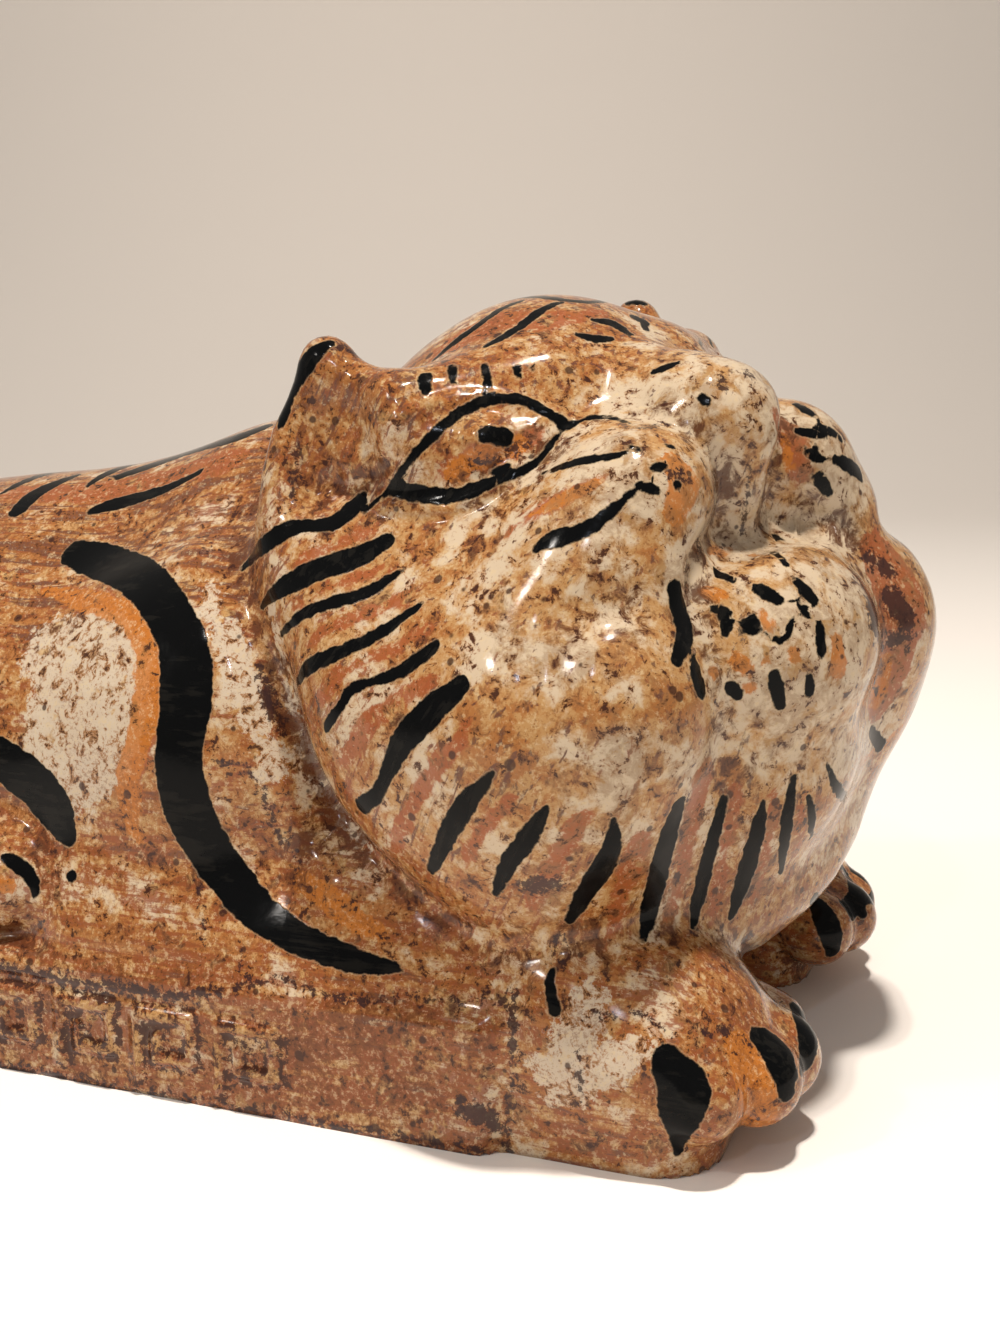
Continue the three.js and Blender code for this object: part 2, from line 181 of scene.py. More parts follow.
def headField(p, fine):
    x, side, z = toHead(p)
    q = (x, np.abs(side), z)
    d = ellipsoid(q, (-14, 0, 14), (40, 54, 44))                    # skull
    d = blend(d, ellipsoid(q, (-2, 0, 30), (38, 42, 39)), 8)        # crown
    d = blend(d, ellipsoid(q, (8, 0, -6), (46, 67, 48)), 14)        # cheeks
    d = blend(d, limbs(q, ruffLine, [13] * len(ruffLine)), 12)
    d = blend(d, ellipsoid(q, (24, 0, -30), (32, 52, 32)), 14)      # beard
    d = blend(d, ellipsoid(q, (35, 39, -9), (24, 26, 27)), 16)      # jowl
    d = blend(d, ellipsoid(q, (38, 27, 18), (18, 19, 22)), 12)      # hanging lip
    d = blend(d, ellipsoid(q, (41, 21, 33), (14, 14, 12)), 6)       # whisker pad
    d = blend(d, ellipsoid(q, (14, 0, 36), (32, 26, 18)), 10)       # root of the muzzle
    d = blend(d, ellipsoid(q, (43, 36, -3), (21, 19, 20)), 6)       # lobe of the lower lip
    d = blend(d, ellipsoid(q, (41, 0, -20), (25, 28, 24)), 10)      # under the chin
    d = blend(d, ellipsoid(q, (49, 0, 0), (23, 27, 22)), 7)         # chin
    d = blend(d, limb(q, (4, 0, 45), (34, 0, 46), 12, 11), 6)       # bridge of the nose
    d = blend(d, ellipsoid(q, (42, 1, 44.5), (12.5, 11.5, 10.5)), 4)  # nose
    d = blend(d, limb(q, (50, 0, 40), (46, 0, 26), 5, 5), 4)        # wall between the nostrils
    d = blend(d, limb(q, (14, 17, 51), (0, 42, 50), 8, 8), 8)       # brow
    v = [q[i] - eye["centre"][i] for i in range(3)]
    along, out, up = [v[0] * a[0] + v[1] * a[1] + v[2] * a[2] for a in (eyeAlong, eyeOut, eyeUp)]
    near = (np.abs(out) < 16) & (z > 8) & (np.abs(along) < 26)
    rim = eye["half"] * (1 - (along / eye["long"]) ** 2) - np.abs(up)
    t = np.clip(rim / eye["half"], 0, 1)
    d = d - near * eye["swell"] * t * (2 - t)
    if fine:
        lid = rim / np.sqrt(1 + (2 * eye["half"] * along / eye["long"] ** 2) ** 2)
        lidEnd = eye["long"] + 1.5
        d = d - near * eye["lid"] * np.exp(-((lid + 0.6) / eye["lidWidth"]) ** 2) * (np.abs(along) < lidEnd)
        knob = np.hypot(along - eye["pupil"][0], up - eye["pupil"][1]) / eye["pupil"][2]
        d = d - near * eye["pupilRise"] * np.clip(1.5 - knob, 0, 1)
    for root in earRoots:
        d = blend(d, limb(q, earTip, root, 3.4, 5.5), 4)
    d = blend(d, limbs(q, earBack, np.linspace(3.4, 9, len(earBack))), 5)
    d = carve(d, ellipsoid(q, (-4, 55, 52), (10, 7, 11)), 4)        # hollow of the ear
    for line, depth, width in creases.values() if fine else []:
        d = d + depth * np.exp(-(limbs(q, line, [0] * len(line)) / width) ** 2)
    return d


spine = curve([(-130, 0, 66), (-95, 0, 80), (-60, 0, 88.5), (-20, 0, 95), (28, 0, 106)], 2)
napeRoll = curve([(32, 46, 107), (44, 58, 93), (53, 62, 76), (61, 62, 58), (72, 66, 48)], 2)


def torsoField(p, fine):
    q = (p[0], np.abs(p[1]), p[2])
    d = ellipsoid(q, (-45, 0, 58), (120, 65, 58))
    d = blend(d, ellipsoid(q, (-116, 34, 58), (44, 34, 48)), 14)    # rump
    d = blend(d, ellipsoid(q, (-98, 47, 56), (44, 28, 44)), 4)      # thigh
    d = blend(d, ellipsoid(q, (32, 30, 62), (46, 38, 50)), 16)      # shoulder
    d = blend(d, ellipsoid(q, (50, 0, 96), (46, 40, 38)), 14)       # neck
    d = blend(d, limbs(q, spine, [tiger["backWidth"]] * len(spine)), 18)    # back and nape
    d = blend(d, ellipsoid(q, (80, 0, 42), (34, 62, 36)), 10)       # chest
    d = blend(d, roundBox(q, (-4, -73, 2), (106, 73, 45), 20), 16)  # skirt of the flanks on the plinth
    if fine:
        roll = limbs(q, napeRoll, [0] * len(napeRoll)) / tiger["napeRollWidth"]
        d = d - tiger["napeRollHeight"] * np.exp(-roll ** 2)
    return d


# each toe: how far outward of the paw's middle, and its foremost x
toes = [(-19, 160), (-8, 164), (3, 162.5), (13.5, 154)]


def forelegField(p):
    q, c = (p[0], np.abs(p[1]), p[2]), tiger["pawSpacing"]
    d = roundBox(q, (94, c - 25, -10), (149, c + 20, 30), 13)       # sole
    d = blend(d, ellipsoid(q, (130, c - 1, 20), (26, 23, 18)), 8)   # back of the paw
    for offset, front in toes:
        knuckle, tip = (front - 34, c + offset * 0.8, 28), (front - 9, c + offset, 15)
        d = blend(d, limb(q, knuckle, tip, 8, 9), 2.5)
    return blend(d, limb(q, (78, c - 5, 34), (126, c, 27), 22, 15), 16)


def hindFootField(p):
    q, h = (p[0], np.abs(p[1]), p[2]), tiger["hindFootHeight"]
    d = limb(q, (-78, 58, h), (-8, 61, h - 1), 15, 13)
    d = blend(d, roundBox(q, (-80, 44, h - 22), (-9, 68, h - 6), 6), 4)     # sole
    for a in (-8, 0, 8):                                            # toes
        d = blend(d, limb(q, (-22, 64, h + a), (-3, 62, h - 2 + a * 0.9), 5, 5.5), 1.5)
    return d


def tailField(p):
    # laid along the tiger's left side
    path = [(-160, 10, 62), (-158, 42, 50), (-140, 62, 42), (-108, 70, 38), (-76, 70, 44), (-62, 68, 56)]
    return limbs(p, path, [10, 9.5, 9, 8.5, 8, 7.5])


def fretLine(along, up):
    # distance to the nearest rib of the key fret, one hooked line to each pitch
    r = tiger["fretRib"]
    w, h = tiger["fretPitch"] - 4 - r, tiger["fretHigh"] - tiger["fretLow"] - r
    u, v = np.mod(along, tiger["fretPitch"]) - r / 2, up - tiger["fretLow"] - r / 2
    path = [(0, 0), (0, h), (w, h), (w, h * 0.3), (w * 0.36, h * 0.3), (w * 0.36, h * 0.66)]
    out = np.full(np.shape(u), 99.0)
    for a, b in zip(path[:-1], path[1:]):
        du = np.maximum(np.abs(u - (a[0] + b[0]) / 2) - abs(b[0] - a[0]) / 2, 0)
        dv = np.maximum(np.abs(v - (a[1] + b[1]) / 2) - abs(b[1] - a[1]) / 2, 0)
        out = np.minimum(out, np.hypot(du, dv))
    return out - r / 2


def fretAt(p):
    # distance to the fret's ribs, and whether a point is on a face that has them
    x, y, z = p
    back, half = tiger["plinthBack"], tiger["plinthHalfWidth"]
    onSide = (np.abs(y) > half - 6) & (x > back + 7) & (x < tiger["fretEnd"])
    onBack = (x < back + 6) & (np.abs(y) < half - 7)
    along = np.where(onBack, y + half - 8, x - back - 8)
    return fretLine(along, z), (onSide | onBack) & (z < tiger["plinthHeight"])


def plinthField(p, fine):
    x, y, z = p
    back, half = tiger["plinthBack"], tiger["plinthHalfWidth"]
    corner = (tiger["plinthFront"], half, tiger["plinthHeight"])
    d = roundBox(p, (back, -half, -10), corner, tiger["plinthRound"])
    if fine:
        rib, faced = fretAt(p)
        ridge = np.clip(0.5 - rib / 1.1, 0, 1)
        d = d - faced * tiger["fretRelief"] * ridge * ridge * (3 - 2 * ridge)
        fade = np.clip((tiger["ledgeEnd"] - x) / 10, 0, 1) * (np.abs(y) > half - 6)
        d = d + tiger["ledgeDepth"] * fade * np.exp(-((z - tiger["ledgeHeight"]) / tiger["ledgeWidth"]) ** 2)
    return d


def wander(p):
    # slow waves of a hand-worked surface, about -1 to 1
    x, y, z = p
    a = np.sin(x / 7.3 + 1.7 * np.sin(y / 11.0 + 0.4) + z / 13.1)
    b = np.sin(y / 6.1 - 1.3 * np.sin(z / 9.7 + 1.1) + x / 17.3 + 2.0)
    c = np.sin(z / 5.7 + 1.5 * np.sin(x / 12.3 - 0.7) - y / 15.9 + 4.0)
    return (a + b + c) / 3


def figure(p, fine=True):
    # the whole figurine; fine adds the relief that the coarse cells would miss
    d = blend(torsoField(p, fine), forelegField(p), 5)
    d = blend(d, hindFootField(p), 5)
    d = blend(d, tailField(p), 4)
    d = blend(d, plinthField(p, fine), 3)
    neck = 4 + 14 * np.clip((p[2] - 74) / 34, 0, 1)                 # softest at the top of the neck
    d = blend(d, headField(p, fine), neck)
    if fine:
        d = d + tiger["unevenness"] * wander(p)
    return np.maximum(d, -p[2])


# Skin: one closed mesh of the zero surface, with finer cells over the head and the fret.
surface = {
    # along each axis: where a size of cell starts, and that size, mm
    "cells": {
        "x": [(-182, 2.3), (8, 1.55), (190, 1.55)],
        "y": [(-92, 1.7), (92, 1.7)],
        "z": [(-3, 1.25), (30, 1.65), (170, 1.65)],
    },
    "quickCells": 1.7,
    "turns": 4, "longestMove": 0.8,      # how often points move onto the fine form, and how far at once
    "slopeStep": 0.12, "normalStep": 0.45,    # over how many mm its slope is felt, and that of the shading
    "footBelow": 0.6,                    # points this low stay on the ground
}
coarser = 1.0


def axis(stops):
    out = [stops[0][0]]
    for (start, step), (end, _) in zip(stops[:-1], stops[1:]):
        while out[-1] < end:
            out.append(out[-1] + step * coarser)
    return np.array(out, float)


def gradient(at, field, step):
    out = []
    for i in range(3):
        e = np.zeros(3)
        e[i] = step
        out.append((field(tuple((at + e).T)) - field(tuple((at - e).T))) / (2 * step))
    return np.stack(out, 1)


def skin(field, grid):
    # a point in each cell that the surface crosses, and a face round each edge that it crosses
    gx, gy, gz = grid
    v = field(tuple(np.meshgrid(gx, gy, gz, indexing="ij")), False)
    inside = v < 0
    nx, ny, nz = v.shape
    corners = [(a, b, c) for a in (0, 1) for b in (0, 1) for c in (0, 1)]
    full = sum(inside[a:nx - 1 + a, b:ny - 1 + b, c:nz - 1 + c].astype(int) for a, b, c in corners)
    cell = (full > 0) & (full < 8)
    number = np.full(cell.shape, -1)
    number[cell] = np.arange(cell.sum())
    at = np.array(np.nonzero(cell))
    found, hits = np.zeros((at.shape[1], 3)), np.zeros(at.shape[1])
    for ax in range(3):
        others = [i for i in range(3) if i != ax]
        for a in (0, 1):
            for b in (0, 1):
                start = np.zeros((3, 1), int)
                start[others[0]], start[others[1]] = a, b
                end = start.copy()
                end[ax] = 1
                s, e = at + start, at + end
                v0, v1 = v[tuple(s)], v[tuple(e)]
                cross = (v0 < 0) != (v1 < 0)
                t = np.where(cross, v0 / np.where(cross, v0 - v1, 1), 0)
                p0 = np.stack([gx[s[0]], gy[s[1]], gz[s[2]]], 1)
                p1 = np.stack([gx[e[0]], gy[e[1]], gz[e[2]]], 1)
                found += np.where(cross[:, None], p0 + (p1 - p0) * t[:, None], 0)
                hits += cross
    found /= hits[:, None]
    quads = []
    for ax in range(3):
        others = [i for i in range(3) if i != ax]
        low, high = [slice(None)] * 3, [slice(None)] * 3
        low[ax], high[ax] = slice(0, -1), slice(1, None)
        change = inside[tuple(low)] != inside[tuple(high)]
        where = np.array(np.nonzero(change))
        ring = []
        for a, b in ((-1, -1), (0, -1), (0, 0), (-1, 0)):
            w = where.copy()
            w[others[0]] += a
            w[others[1]] += b
            ring.append(number[tuple(w)])
        ring = np.stack(ring, 1)
        outward = inside[tuple(where)] == (ax != 1)
        quads.append(np.where(outward[:, None], ring, ring[:, ::-1]))
    return found, np.concatenate(quads)


print("form: measuring the field")
points, quads = skin(figure, [axis(surface["cells"][k]) for k in "xyz"])
standing = points[:, 2] < surface["footBelow"]
for turn in range(surface["turns"]):
    if turn % 2 == 0:
        slope = gradient(points, figure, surface["slopeStep"])
    move = figure(tuple(points.T)) / ((slope ** 2).sum(1) + 1e-6)
    move = np.clip(move, -surface["longestMove"], surface["longestMove"])
    points -= move[:, None] * slope
    points[standing, 2] = 0
normals = gradient(points, figure, surface["normalStep"])
normals /= np.linalg.norm(normals, axis=1)[:, None] + 1e-9
print("form: %d points, %d faces" % (len(points), len(quads)))

# The camera as rays in the drawing. Painted marks are placed by the pixels they have in the photo.
turnAngle, downAngle = math.radians(camera["turn"]), math.radians(camera["down"])
eyePoint = np.array(camera["place"])
level = np.array([-math.sin(turnAngle), math.cos(turnAngle), 0])
toRight = np.array([math.cos(turnAngle), math.sin(turnAngle), 0])
ahead = level * math.cos(downAngle) - np.array([0, 0, math.sin(downAngle)])
toBottom = -level * math.sin(downAngle) - np.array([0, 0, math.cos(downAngle)])
focal = camera["lens"] / camera["film"] * camera["image"][1]
# how a ray finds the surface: mm from its start, its steps, from which of them it feels the fine form, and
# how boldly it goes
rays = {"start": 60.0, "steps": 96, "fineFrom": 85, "stride": (-3, 40), "caution": 0.8, "farthest": 900}


def march(start, ways):
    # where rays from start meet the surface
    gone = np.full(len(ways), rays["start"])
    for step in range(rays["steps"]):
        p = start + ways * gone[:, None]
        clear = np.clip(figure(tuple(p.T), step >= rays["fineFrom"]), *rays["stride"])
        gone = np.minimum(gone + clear * rays["caution"], rays["farthest"])
    return start + ways * gone[:, None], gone < rays["farthest"] - 1


def fromPixels(pixels):
    px = np.array(pixels, float) - np.array(camera["image"]) / 2
    ways = ahead + toRight * px[:, :1] / focal + toBottom * px[:, 1:] / focal
    return march(eyePoint, ways / np.linalg.norm(ways, axis=1)[:, None])


def smooth(knots, spacing):
    # a curve through the knots, whose first two values place it and whose last is its width
    k = withEnds(knots)
    out = []
    for i in range(1, len(k) - 2):
        n = max(2, int(np.linalg.norm((k[i + 1] - k[i])[:2]) / spacing) + 1)
        for t in np.linspace(0, 1, n, endpoint=i == len(k) - 3):
            out.append(bend(*k[i - 1:i + 3], t))
    return np.array(out)


# Painted marks, in pixels of the photo: across, down, width. "head" marks are mirrored over the middle of
# the head, "body" marks over the middle of the body, and "here" marks are single.
ink = {
    "upperLid": ("head", [(390, 489, 7), (403, 469, 8), (425, 443, 10), (450, 420, 11), (475, 405, 11),
                          (501, 398, 11), (526, 400, 10), (545, 411, 9), (563, 420, 7)]),
    "innerCorner": ("head", [(548, 412, 5), (562, 421, 13), (577, 424, 7)]),
    "lowerLid": ("head", [(391, 489, 10), (405, 490, 17), (417, 493, 17), (450, 497, 14), (475, 489, 13),
                          (501, 478, 11), (526, 469, 9), (541, 458, 7), (552, 444, 5), (566, 426, 4)]),
    "innerLid": ("head", [(490, 474, 4), (501, 469, 7), (512, 464, 4)]),
    "outerTail": ("head", [(366, 511, 3), (380, 497, 4), (392, 487, 6)]),
    "pupil": ("head", [(487, 434, 18), (496, 435, 20), (505, 437, 18)]),
    "browTick1": ("here", [(425, 376, 14), (425, 388, 11), (424, 400, 3)]),
    "browTick2": ("here", [(452, 367, 9), (453, 382, 8)]),
    "browTick3": ("here", [(485, 365, 9), (487, 384, 9)]),
    "browTick4": ("here", [(516, 367, 8), (518, 377, 7)]),
    "browTick5": ("here", [(532, 362, 3), (533, 371, 4)]),
    "foreheadLow": ("here", [(435, 359, 3), (450, 346, 5), (475, 327, 6), (501, 309, 6), (519, 302, 5)]),
    "foreheadMid": ("here", [(486, 346, 4), (505, 336, 8), (526, 322, 10), (545, 308, 9), (560, 302, 6)]),
    "foreheadTop": ("here", [(420, 350, 2), (450, 326, 3), (475, 312, 4), (501, 303, 6), (534, 297, 7),
                             (585, 302, 7), (613, 300, 6), (643, 303, 6), (657, 309, 4)]),
    "farEarEdge": ("here", [(640, 299, 5), (664, 305, 11), (680, 319, 8)]),
    "farEarStripe1": ("here", [(694, 327, 4), (700, 345, 6)]),
    "farEarStripe2": ("here", [(704, 328, 4), (712, 346, 5)]),
    "farBrow1": ("here", [(578, 335, 4), (595, 339, 8), (609, 339, 6)]),
    "farBrow2": ("here", [(594, 320, 4), (613, 323, 9), (629, 334, 6)]),
    "farBrow3": ("here", [(636, 318, 8), (644, 322, 9), (646, 331, 5)]),
    "noseTop": ("here", [(653, 372, 3), (665, 368, 7), (677, 363, 4)]),
    "noseTip": ("here", [(724, 353, 4), (732, 355, 6), (738, 358, 3)]),
    "noseDot": ("here", [(699, 396, 11), (706, 401, 10)]),
    "muzzleLine1": ("here", [(583, 420, 3), (594, 417, 5), (613, 418, 6), (631, 425, 4)]),
    "muzzleLine2": ("here", [(543, 473, 3), (560, 467, 8), (577, 462, 9), (600, 458, 8), (624, 454, 4)]),
    "muzzleLine3": ("here", [(628, 446, 5), (637, 449, 5)]),
    "padDot1": ("here", [(667, 446, 6), (671, 446, 6)]),
    "padDot2": ("here", [(651, 469, 7), (659, 467, 10), (665, 466, 6)]),
    "padDot3": ("here", [(640, 486, 9), (648, 488, 13), (656, 490, 9)]),
    "padDot4": ("here", [(677, 486, 9)]),
    "cheekStroke": ("here", [(536, 549, 7), (545, 542, 14), (558, 538, 18), (583, 531, 16), (600, 520, 14),
                             (616, 507, 10), (635, 489, 4)]),
    "farPad1": ("here", [(779, 382, 8), (784, 393, 12)]),
    "farPad2": ("here", [(799, 405, 8), (807, 411, 9), (813, 414, 6)]),
    "farPad3": ("here", [(819, 425, 5), (830, 431, 8), (840, 438, 6)]),
    "farPad4": ("here", [(797, 431, 6), (811, 433, 11), (824, 436, 7)]),
    "farPad5": ("here", [(807, 452, 7), (816, 456, 11), (824, 460, 8)]),
    "farPad6": ("here", [(835, 459, 9), (848, 465, 16), (860, 474, 15)]),
    "farPad7": ("here", [(815, 477, 9), (824, 485, 14), (830, 493, 10)]),
    "lipDot": ("here", [(778, 539, 8)]),
    "chin1": ("here", [(767, 549, 4), (778, 556, 7), (786, 564, 6)]),
    "chin2": ("here", [(711, 570, 6), (720, 575, 10), (731, 579, 7)]),
    "chin3": ("here", [(756, 588, 9), (765, 592, 13), (777, 599, 11)]),
    "chin4": ("here", [(797, 582, 8), (805, 590, 12), (813, 600, 9)]),
    "chin5": ("here", [(675, 590, 15), (679, 607, 17), (685, 629, 18), (683, 645, 18), (677, 660, 13)]),
    "chin6": ("here", [(713, 609, 7), (725, 611, 10), (724, 622, 10), (725, 633, 8)]),
    "chin7": ("here", [(741, 621, 8), (747, 631, 8), (758, 629, 7), (753, 616, 6)]),
    "chin8": ("here", [(771, 638, 7), (781, 641, 7), (789, 633, 6), (792, 620, 4)]),
    "chin9": ("here", [(796, 600, 4), (801, 608, 5), (807, 615, 6)]),
    "chin10": ("here", [(819, 624, 8), (821, 638, 10), (821, 654, 8)]),
    "chin11": ("here", [(694, 660, 6), (697, 676, 12), (701, 690, 11)]),
    "chin12": ("here", [(730, 688, 14), (737, 694, 14)]),
    "chin13": ("here", [(775, 675, 11), (777, 690, 16), (780, 705, 12)]),
    "chin14": ("here", [(809, 676, 7), (810, 685, 10), (810, 693, 8)]),
    "ruff1": ("head", [(242, 569, 5), (262, 547, 17), (285, 531, 18), (308, 526, 13), (334, 523, 14),
                       (350, 510, 17), (361, 500, 13)]),
    "ruff2": ("head", [(262, 606, 6), (281, 588, 19), (315, 571, 23), (359, 556, 21), (386, 541, 15)]),
    "ruff3": ("head", [(281, 635, 5), (301, 615, 11), (334, 602, 12), (368, 592, 12), (400, 571, 6)]),
    "ruff4": ("head", [(297, 683, 8), (311, 665, 16), (349, 648, 14), (383, 631, 12), (421, 604, 5)]),
    "ruff5": ("head", [(326, 727, 9), (344, 701, 10), (350, 690, 11), (373, 681, 9), (402, 671, 15),
                       (434, 647, 12)]),
    "ruff6": ("head", [(362, 806, 18), (376, 795, 17), (386, 775, 16), (402, 742, 26), (432, 710, 30),
                       (460, 686, 20)]),
    "ruff7": ("head", [(431, 871, 9), (440, 850, 18), (460, 812, 24), (480, 788, 17), (493, 773, 5)]),
    "ruff8": ("head", [(495, 893, 7), (508, 866, 19), (526, 840, 22), (540, 818, 14), (546, 808, 5)]),
    "ruff9": ("head", [(570, 920, 10), (586, 893, 22), (606, 861, 24), (614, 836, 16), (613, 820, 5)]),
    "ruff10": ("here", [(643, 940, 6), (651, 903, 21), (664, 853, 22), (673, 822, 18), (679, 804, 13)]),
    "ruff11": ("here", [(693, 925, 6), (699, 895, 15), (711, 847, 14), (719, 818, 11), (724, 800, 9)]),
    "ruff12": ("here", [(732, 916, 6), (742, 885, 18), (753, 847, 18), (760, 820, 13), (763, 804, 6)]),
    "ruff13": ("here", [(781, 873, 5), (784, 847, 13), (788, 812, 13), (794, 778, 6)]),
    "ruff14": ("here", [(811, 838, 5), (812, 815, 11), (808, 798, 7)]),
    "farRuff1": ("here", [(827, 763, 3), (835, 785, 12), (846, 800, 9)]),
    "farRuff2": ("here", [(871, 731, 12), (881, 746, 16), (893, 759, 9)]),
    "shoulderBand": ("body", [(78, 553, 34), (102, 561, 44), (136, 575, 46), (160, 600, 47), (177, 630, 48),
                              (186, 662, 52), (186, 701, 52), (180, 735, 46), (179, 769, 47), (187, 808, 48),
                              (204, 842, 44), (228, 876, 42), (257, 910, 38), (291, 934, 33), (330, 952, 28),
                              (368, 964, 22), (404, 968, 5)]),
    "thighBand": ("body", [(-40, 742, 30), (-12, 752, 38), (10, 766, 42), (34, 785, 42), (54, 808, 38),
                           (68, 835, 18)]),
    "hindDot": ("body", [(72, 876, 13)]),
    "hindClaw1": ("body", [(6, 858, 12), (22, 868, 15), (34, 882, 12), (36, 897, 8)]),
    "backStroke1": ("body", [(18, 511, 15), (28, 500, 15), (45, 488, 11), (75, 476, 5)]),
    "backStroke2": ("body", [(91, 511, 6), (108, 506, 13), (138, 498, 13), (170, 487, 9), (200, 472, 5)]),
    "napeStroke": ("here", [(120, 476, 6), (190, 452, 14), (235, 438, 14), (264, 427, 8)]),
    "earRim": ("here", [(281, 424, 6), (287, 400, 15), (299, 373, 18), (315, 352, 15), (331, 343, 7)]),
    "chestDrop": ("body", [(551, 971, 6), (550, 990, 11), (555, 1010, 12)]),
    "claw1": ("body", [(668, 1062, 34), (676, 1075, 44), (684, 1092, 52), (680, 1115, 44), (678, 1135, 22),
                       (678, 1152, 8)]),
    "claw2": ("body", [(757, 1036, 16), (774, 1046, 28), (784, 1064, 28), (788, 1092, 16)]),
    "claw3": ("body", [(797, 1010, 14), (808, 1030, 25), (808, 1052, 22), (801, 1070, 12)]),
    "farClaw1": ("here", [(813, 898, 12), (824, 915, 24), (832, 935, 24), (833, 950, 16)]),
    "farClaw2": ("here", [(839, 860, 4), (852, 885, 9), (863, 913, 8)]),
    "farClaw3": ("here", [(853, 834, 4), (867, 858, 9), (876, 880, 14), (878, 893, 12)]),
}
rust = {
    "stripe1": ("head", [(300, 559, 12), (340, 545, 12), (372, 528, 10)]),
    "stripe2": ("head", [(292, 612, 10), (330, 588, 8), (385, 566, 8)]),
    "stripe3": ("head", [(305, 644, 12), (345, 622, 14), (405, 598, 12)]),
    "stripe4": ("head", [(318, 700, 14), (350, 668, 16), (425, 632, 14)]),
    "stripe5": ("head", [(345, 760, 20), (375, 715, 22), (432, 680, 14)]),
    "stripe6": ("head", [(395, 850, 22), (420, 790, 22), (465, 730, 16)]),
    "stripe7": ("head", [(462, 868, 14), (482, 832, 20), (512, 795, 16)]),
    "stripe8": ("head", [(530, 905, 16), (553, 868, 24), (583, 815, 22)]),
    "stripe9": ("head", [(612, 935, 16), (624, 890, 24), (640, 838, 24)]),
    "stripe10": ("here", [(668, 922, 12), (684, 860, 20), (702, 775, 24)]),
    "stripe11": ("here", [(713, 915, 12), (722, 860, 16), (737, 795, 16)]),
    "stripe12": ("here", [(753, 898, 12), (766, 850, 14), (775, 795, 14)]),
    "stripe13": ("here", [(795, 860, 8), (800, 830, 9), (803, 790, 8)]),
    "muzzleStreak": ("here", [(512, 531, 10), (535, 512, 14), (555, 502, 14), (580, 487, 12), (606, 478, 8)]),
    "irisFill": ("head", [(440, 478, 16), (470, 462, 26), (505, 452, 28), (535, 436, 18)]),
    "foreheadWash": ("here", [(440, 352, 16), (490, 325, 22), (545, 320, 22), (600, 312, 14)]),
    "backWash": ("body", [(10, 492, 22), (110, 490, 26), (230, 460, 30)]),
    "farJowl": ("here", [(880, 555, 36), (902, 610, 60), (896, 660, 40), (880, 700, 30)]),
    "farEye": ("here", [(775, 415, 20), (790, 440, 30), (800, 470, 24)]),
    "shoulderEdge": ("body", [(44, 588, 10), (97, 600, 20), (140, 616, 22), (160, 652, 20), (158, 711, 20),
                              (141, 759, 18), (131, 806, 12)]),
}
amber = {
    "shoulderEdge": ("body", [(48, 590, 14), (92, 603, 24), (128, 616, 26), (146, 650, 28), (146, 711, 28),
                              (132, 759, 26), (128, 800, 22), (138, 836, 12)]),
    "iris": ("head", [(445, 478, 12), (470, 462, 22), (520, 446, 20)]),
    "toe": ("body", [(735, 1045, 28), (750, 1075, 46), (752, 1120, 46), (750, 1150, 26)]),
    "padPatch": ("here", [(672, 462, 20), (684, 484, 34), (676, 508, 26)]),
    "chinSpot1": ("here", [(708, 592, 16), (722, 594, 14)]),
    "chinSpot2": ("here", [(762, 612, 12), (768, 624, 14)]),
    "chinSpot3": ("here", [(736, 660, 16), (745, 668, 18)]),
    "chinSpot4": ("here", [(713, 673, 14)]),
    "chinSpot5": ("here", [(748, 688, 16), (756, 692, 12)]),
    "chinSpot6": ("here", [(766, 664, 10)]),
    "chinSpot7": ("here", [(794, 654, 14)]),
    "chinTop": ("here", [(694, 561, 6), (720, 552, 9), (745, 551, 8), (760, 556, 5)]),
    "chinSide": ("here", [(838, 640, 12), (840, 665, 20)]),
    "farJowl": ("here", [(880, 668, 22), (876, 695, 20)]),
    "muzzleStreak": ("here", [(530, 515, 8), (560, 500, 10), (600, 479, 8)]),
    "farPadSpot": ("here", [(783, 440, 10), (790, 465, 14)]),
    "hindToe": ("body", [(2, 884, 16), (14, 890, 14)]),
    "foldPool": ("body", [(300, 880, 20), (335, 905, 26), (380, 935, 20)]),
    "farCheek": ("here", [(905, 725, 14), (860, 765, 10)]),
}
cream = {
    "flankPatch": ("body", [(50, 648, 80), (80, 668, 120), (84, 708, 124), (66, 752, 100)]),
    "neckStrip": ("body", [(208, 590, 18), (228, 640, 34), (246, 700, 34), (275, 770, 30)]),
    "ruffEdge": ("head", [(272, 610, 8), (282, 660, 10), (300, 720, 16), (330, 790, 16), (370, 850, 14)]),
    "chest": ("body", [(590, 1000, 40), (560, 1080, 60), (640, 1050, 30)]),
}
